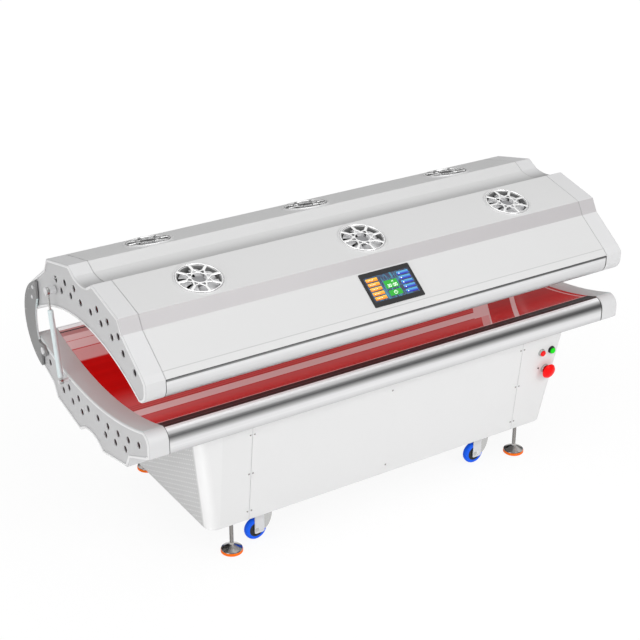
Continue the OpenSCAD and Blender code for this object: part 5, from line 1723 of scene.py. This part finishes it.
class BED_OT_hinges(Built):
    """Builds the curved arms that the canopy hinges on"""

    bl_idname = "bed.hinges"
    bl_label = "Hinge arms"

    def build(self, context):
        h = settings("bed_hinge")
        low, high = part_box("hinge_arms")
        pivot = Vector(h.pivot)
        outer_r, inner_r, apart = 0.174, 0.204, 0.131
        outer = (high.y - MIDDLE_Y - outer_r, (low.z + high.z) / 2)
        inner = (outer[0] - apart, outer[1])
        mount = 0.384  # distance from the middle line at which both arcs are cut off
        start = math.degrees(math.acos((mount - outer[0]) / outer_r))
        stop = math.degrees(math.acos((mount - inner[0]) / inner_r))
        foot = math.degrees(math.asin((pivot.y + h.boss - inner[1]) / inner_r))
        inside = arc(inner, inner_r, foot, stop, 28)
        outline = arc(outer, outer_r, start, -start, 48)
        outline += [(mount, pivot.y - h.boss)] + arc(tuple(pivot), h.boss, -90, -270, 20) + inside
        outline = rounded(outline, 0.004, 3, closed=True, least=25)
        thick = 0.008
        edge = Form()
        form = Form()
        rivets = Form()
        for side in SIDES:
            base = Matrix.Translation((side * (high.x - thick), MIDDLE_Y, 0))
            turn = Matrix(((0, 0, side, 0), (1, 0, 0, 0), (0, 1, 0, 0), (0, 0, 0, 1)))
            place = base @ turn
            form.slab(outline, 0, thick, place, 0.0012)
            # A pale strip along each arm's inner edge: a painted highlight where the edge faces the light.
            trim = [(u - 0.0002, z) for u, z in arc(inner, inner_r, foot + 2, stop - 1, 28)]
            line = trim + [(u - 0.0016, z) for u, z in reversed(trim)]
            edge.strip([[place @ Vector((*p, z)) for p in line] for z in (0.0008, thick - 0.0008)])
            for k in range(7):
                spot = arc(outer, outer_r - 0.012, 66 - 20 * k, 66, 1)[0]
                rivets.lathe([(0.0032, 0), (0.0030, 0.0008), (0.0018, 0.0015), (0.0001, 0.0017)],
                             place @ Matrix.Translation((*spot, thick)), 16)
        form.piece("hinge_arm_plates", "arm", "canopy", ("hinge_arms",), "arm_grey", 40)
        edge.piece("hinge_arm_edge_highlight", "strut", "canopy", slot="arm_grey")
        rivets.piece("hinge_arm_rivets", "steel", "canopy", slot="pin_steel")


class BED_OT_springs(Built):
    """Builds the gas springs"""

    bl_idname = "bed.springs"
    bl_label = "Gas springs"

    def build(self, context):
        h = settings("bed_hinge")
        for name, side in ENDS.items():
            place, reach = strut_place(side)
            end = reach - 0.068  # upper end of the tube
            tube, rod = "strut_cylinder_" + name, "strut_rod_" + name
            turned([(0.0042, 0.0165), (h.tube - 0.002, 0.0165), (h.tube - 0.0005, 0.0175),
                    (h.tube, 0.0190), (h.tube, end - 0.004), (h.tube - 0.0006, end - 0.0025),
                    (h.tube - 0.0008, end - 0.001), (h.tube - 0.0025, end), (h.rod + 0.0002, end)],
                   place, 40, "spring_tube_" + name, "strut", tube, (tube,), "strut_white", 40)
            form = Form()
            self.clevis(form, place, 0.0100, 0.0041, 0.0118, 0.0170)
            form.piece("spring_foot_" + name, "steel", tube, slot="pin_steel", sharp=40)
            form = Form()
            form.lathe([(h.rod, end - 0.060), (h.rod, reach - 0.014)], place, 24)
            top = place @ Matrix.Translation((0, 0, reach)) @ Matrix.Rotation(math.pi, 4, "X")
            self.clevis(form, top, 0.0132, 0.0092, 0.0098, 0.0190)
            form.piece("spring_rod_" + name, "steel", rod, (rod,), "rod_steel", 40)

    def clevis(self, form, place, outer, bore, width, neck):
        """An eye with a neck that is screwed onto a gas spring."""
        across_eye = place @ Matrix.Rotation(math.pi / 2, 4, "Y")
        w, soft = width / 2, 0.0008
        form.lathe([(bore, -w), (outer - soft, -w), (outer, -w + soft), (outer, w - soft), (outer - soft, w),
                    (bore, w)], across_eye, 40, closed=True)
        form.lathe([(0.0060, outer * 0.8), (0.0060, neck - 0.001), (0.0052, neck), (0.0001, neck)], place, 24)


class BED_OT_feet(Built):
    """Builds the levelling feet with their threads and rubber pads"""

    bl_idname = "bed.feet"
    bl_label = "Feet"

    def build(self, context):
        for corner in CORNERS:
            self.foot("foot_" + corner)

    def foot(self, node):
        low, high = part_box(node)
        centre = (low + high) / 2
        place = Matrix.Translation((centre.x, centre.y, 0))
        radius = (high.x - low.x) / 2
        profile = [(0.0001, 0.0105), (radius - 0.0022, 0.0105), (radius - 0.0012, 0.0118),
                   (radius - 0.0018, 0.0132)]
        profile += [(0.0095 + (radius - 0.0135) * (1 - k / 8), 0.0142 + 0.0150 * k / 8) for k in range(9)]
        profile += [(0.0084, 0.0300), (0.0078, 0.0320), (0.0074, 0.0350)]
        crest, root, pitch = 0.0070, 0.0062, 0.0018
        z = 0.0360
        while z < 0.140:
            profile += [(crest, z), (crest, z + 0.0004), (root, z + 0.0009), (root, z + 0.0012)]
            z += pitch
        profile += [(crest, z), (crest, high.z - 0.001), (root, high.z), (0.0001, high.z)]
        turned(profile, place, 48, node + "_screw", "dark_steel", node, (node,), "foot_steel", 35)
        turned([(0.0001, 0.0), (radius - 0.0015, 0.0), (radius, 0.0015), (radius, 0.0040),
                (radius - 0.0008, 0.0048), (radius, 0.0056), (radius, 0.0090),
                (radius - 0.0012, 0.0104), (0.0001, 0.0104)],
               place, 64, node + "_pad", "pad", node, slot="foot_steel", sharp=50)


class BED_OT_castors(Built):
    """Builds the castors' wheels and forks"""

    bl_idname = "bed.castors"
    bl_label = "Castors"

    def build(self, context):
        for corner in CORNERS:
            self.wheel("castor_wheel_" + corner)
            self.fork("castor_fork_" + corner, middle("castor_wheel_" + corner))

    def fork(self, node, axle):
        """Two legs beside the wheel, each with a rounded wing behind it, a crown and a guard."""
        low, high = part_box(node)
        half, back, top = (high.y - low.y) / 2, high.x - axle.x, high.z - axle.z - 0.008
        thick, crown = 0.003, 0.004
        leg = [(0.030, top), (-0.008, top), *arc((-0.004, -0.010), 0.006, 180, 270, 8),
               *arc((0.022, -0.008), 0.008, 270, 360, 8)]
        wing = [(0.026, top), (0.026, -0.006)]
        wing += [(0.026 + (back - 0.026) * math.sin(a), top - (top + 0.006) * math.cos(a))
                 for a in (math.radians(9 * k) for k in range(1, 11))]
        plates = Form()
        wings = Form()
        for way in SIDES:
            turn = Matrix(((1, 0, 0, 0), (0, 0, way, 0), (0, 1, 0, 0), (0, 0, 0, 1)))
            place = Matrix.Translation((axle.x, axle.y + way * (half - thick), axle.z)) @ turn
            plates.slab(leg, 0, thick, place, 0.0012)
            wings.slab(wing, 0.0001, 0.0020, place, 0.0008)
        flat = Matrix.Translation((axle.x, axle.y, axle.z + top))
        guard = rectangle((back + 0.008) / 2, half - 0.0002, 0.002, ((back - 0.008) / 2, 0))
        wings.slab(guard, -crown, 0, flat, 0.001)
        wings.lathe([(0.006, -0.001), (0.006, 0.008), (0.0001, 0.008)],
                    Matrix.Translation((high.x - 0.022, axle.y, axle.z + top)), 24)
        plates.piece(node + "_legs", "zinc", node, (node,), "castor_steel", 40)
        wings.piece(node + "_wings", "steel", node, slot="castor_steel", sharp=40)

    def wheel(self, node):
        low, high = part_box(node)
        centre = (low + high) / 2
        place = Matrix.Translation(centre) @ Matrix.Rotation(math.pi / 2, 4, "X")
        r, w = (high.z - low.z) / 2, 0.012
        flank = [(r - 0.0006, w - 0.0075), (r - 0.0020, w - 0.0036), (r - 0.0045, w - 0.0010),
                 (r - 0.0075, w), (r * 0.66, w)]
        tyre = [(a, -b) for a, b in reversed(flank)] + [(r, 0)] + flank
        turned(tyre, place, 72, node + "_tyre", "tyre", node, (node,), "castor_blue", 50)
        half = [(0.0001, w + 0.0006), (0.0085, w + 0.0006), (0.0095, w - 0.0002), (0.0100, w - 0.0022),
                (r * 0.50, w - 0.0026), (r * 0.55, w - 0.0004), (r * 0.66, w - 0.0004)]
        hub = half + [(a, -b) for a, b in reversed(half)]
        turned(hub, place, 48, node + "_hub", "black", node, slot="castor_blue", sharp=40)
        form = Form()
        for way in SIDES:
            tip = place @ (Matrix.Rotation(math.pi, 4, "X") if way < 0 else Matrix())
            form.lathe([(0.0050, w), (0.0050, w + 0.0042)], tip, 20)
            form.lathe([(0.0075, w + 0.0042), (0.0075, w + 0.0056), (0.0001, w + 0.0060)], tip, 6)
        form.piece(node + "_axle", "steel", node, slot="castor_steel", sharp=30)


# Tones of the sky that gloss shows, from straight down to straight up, as (share, grey)
SKY_TONES = [(0.0, 0.85), (0.42, 0.70), (0.49, 0.16), (0.56, 0.07), (0.64, 0.14), (0.74, 0.62),
             (0.85, 1.0), (1.0, 0.95)]


class BED_OT_stage(Built):
    """Makes the floor, the lamps, the sky and the camera"""

    bl_idname = "bed.stage"
    bl_label = "Studio"

    def build(self, context):
        studio = settings("bed_studio")
        scene = context.scene
        scene.view_settings.view_transform = "Standard"
        camera = bpy.data.cameras.new("Camera")
        camera.lens = studio.lens
        camera.sensor_width = 36
        eye = bpy.data.objects.new("Camera", camera)
        eye.location = studio.place
        eye.rotation_euler = (math.pi / 2 - studio.tip, 0, studio.turn)
        scene.collection.objects.link(eye)
        scene.camera = eye
        self.floor(scene)
        self.sky(scene, studio)
        self.lamps(scene, studio)

    def floor(self, scene):
        form = Form()
        form.loft([[Vector((x, y, 0)) for x in (-30, 30)] for y in (-30, 30)], closed=False)
        mesh = bpy.data.meshes.new("floor")
        form.bm.to_mesh(mesh)
        form.bm.free()
        f = Finish("floor_white")
        grain = f.noise(30, 2)
        f.surface(Base_Color=f.mix(grain, (0.93, 0.93, 0.93), (0.95, 0.95, 0.95)), Roughness=0.7,
                  Specular_IOR_Level=0.2)
        x, y, z = f.axes()
        reach = hypotenuse(x, y)
        share = f.rays("Is Camera Ray") * (reach.eased(1.1, 3.2) * 0.10 + 0.90)
        share += f.rays("Is Glossy Ray") * (1 - reach.eased(1.6, 6.0)) * 0.9
        shine = f.add("ShaderNodeEmission", values={"Color": (1, 1, 1), "Strength": 1.02})
        blend = f.add("ShaderNodeMixShader", values={0: share, 1: Signal(f, f.shader.outputs[0]), 2: shine})
        f.tree.links.new(blend.source, f.tree.nodes["Material Output"].inputs[0])
        mesh.materials.append(f.material)
        obj = bpy.data.objects.new("floor", mesh)
        scene.collection.objects.link(obj)

    def sky(self, scene, studio):
        """Even light from all round, with a grey horizon that only gloss shows."""
        world = bpy.data.worlds.new("Studio")
        scene.world = world
        n = Nodes(world)
        up = n.split(n.add("ShaderNodeTexCoord", output="Generated"))[2]
        raised = n.add("ShaderNodeMapRange", values={"Value": up, "From Min": -1})
        grey = n.add("ShaderNodeValToRGB", {"stops": SKY_TONES}, {0: raised})
        light = n.mix(n.rays("Is Glossy Ray"), (studio.sky, studio.sky, studio.sky), grey)
        light = n.mix(n.rays("Is Camera Ray"), light, (1, 1, 1))
        n.feed(n.tree.nodes["Background"].inputs["Color"], light)

    def lamps(self, scene, studio):
        for name, place, size, power in (
            ("Key", (1.2, -4.2, 3.4), 2.6, studio.key_power),
            ("Top", (-0.4, -0.6, 4.6), 3.2, studio.key_power * 0.42),
            ("Left fill", (-4.4, -1.6, 1.5), 2.4, studio.key_power * 0.56),
            ("Low fill", (0.2, -5.0, 0.9), 2.6, studio.key_power * 0.14),
        ):
            lamp = bpy.data.lights.new(name, "AREA")
            lamp.energy = power
            lamp.size = size
            holder = bpy.data.objects.new(name, lamp)
            holder.location = place
            holder.rotation_euler = (Vector((0, 0, 0.6)) - Vector(place)).to_track_quat("-Z", "Y").to_euler()
            scene.collection.objects.link(holder)


OPERATORS = (
    BED_OT_stage,
    BED_OT_dress_nodes,
    BED_OT_end_caps,
    BED_OT_skins,
    BED_OT_rails,
    BED_OT_sheets,
    BED_OT_fans,
    BED_OT_display,
    BED_OT_cabinet,
    BED_OT_controls,
    BED_OT_hinges,
    BED_OT_springs,
    BED_OT_feet,
    BED_OT_castors,
)


class BED_PT_panel(Panel):
    """Lists the steps that build the bed"""

    bl_label = "Light Bed"
    bl_idname = "BED_PT_panel"
    bl_space_type = "VIEW_3D"
    bl_region_type = "UI"
    bl_category = "Light Bed"

    def draw(self, context):
        for operator in OPERATORS:
            self.layout.operator(operator.bl_idname)


CLASSES = (*GROUPS.values(), *OPERATORS, BED_PT_panel)


def register():
    for cls in CLASSES:
        bpy.utils.register_class(cls)
    for name, group in GROUPS.items():
        setattr(bpy.types.Scene, name, PointerProperty(type=group))


def unregister():
    for name in GROUPS:
        delattr(bpy.types.Scene, name)
    for cls in reversed(CLASSES):
        bpy.utils.unregister_class(cls)


def main():
    register()
    for operator in OPERATORS:
        module, name = operator.bl_idname.split(".")
        getattr(getattr(bpy.ops, module), name)()


if __name__ == "__main__":
    main()
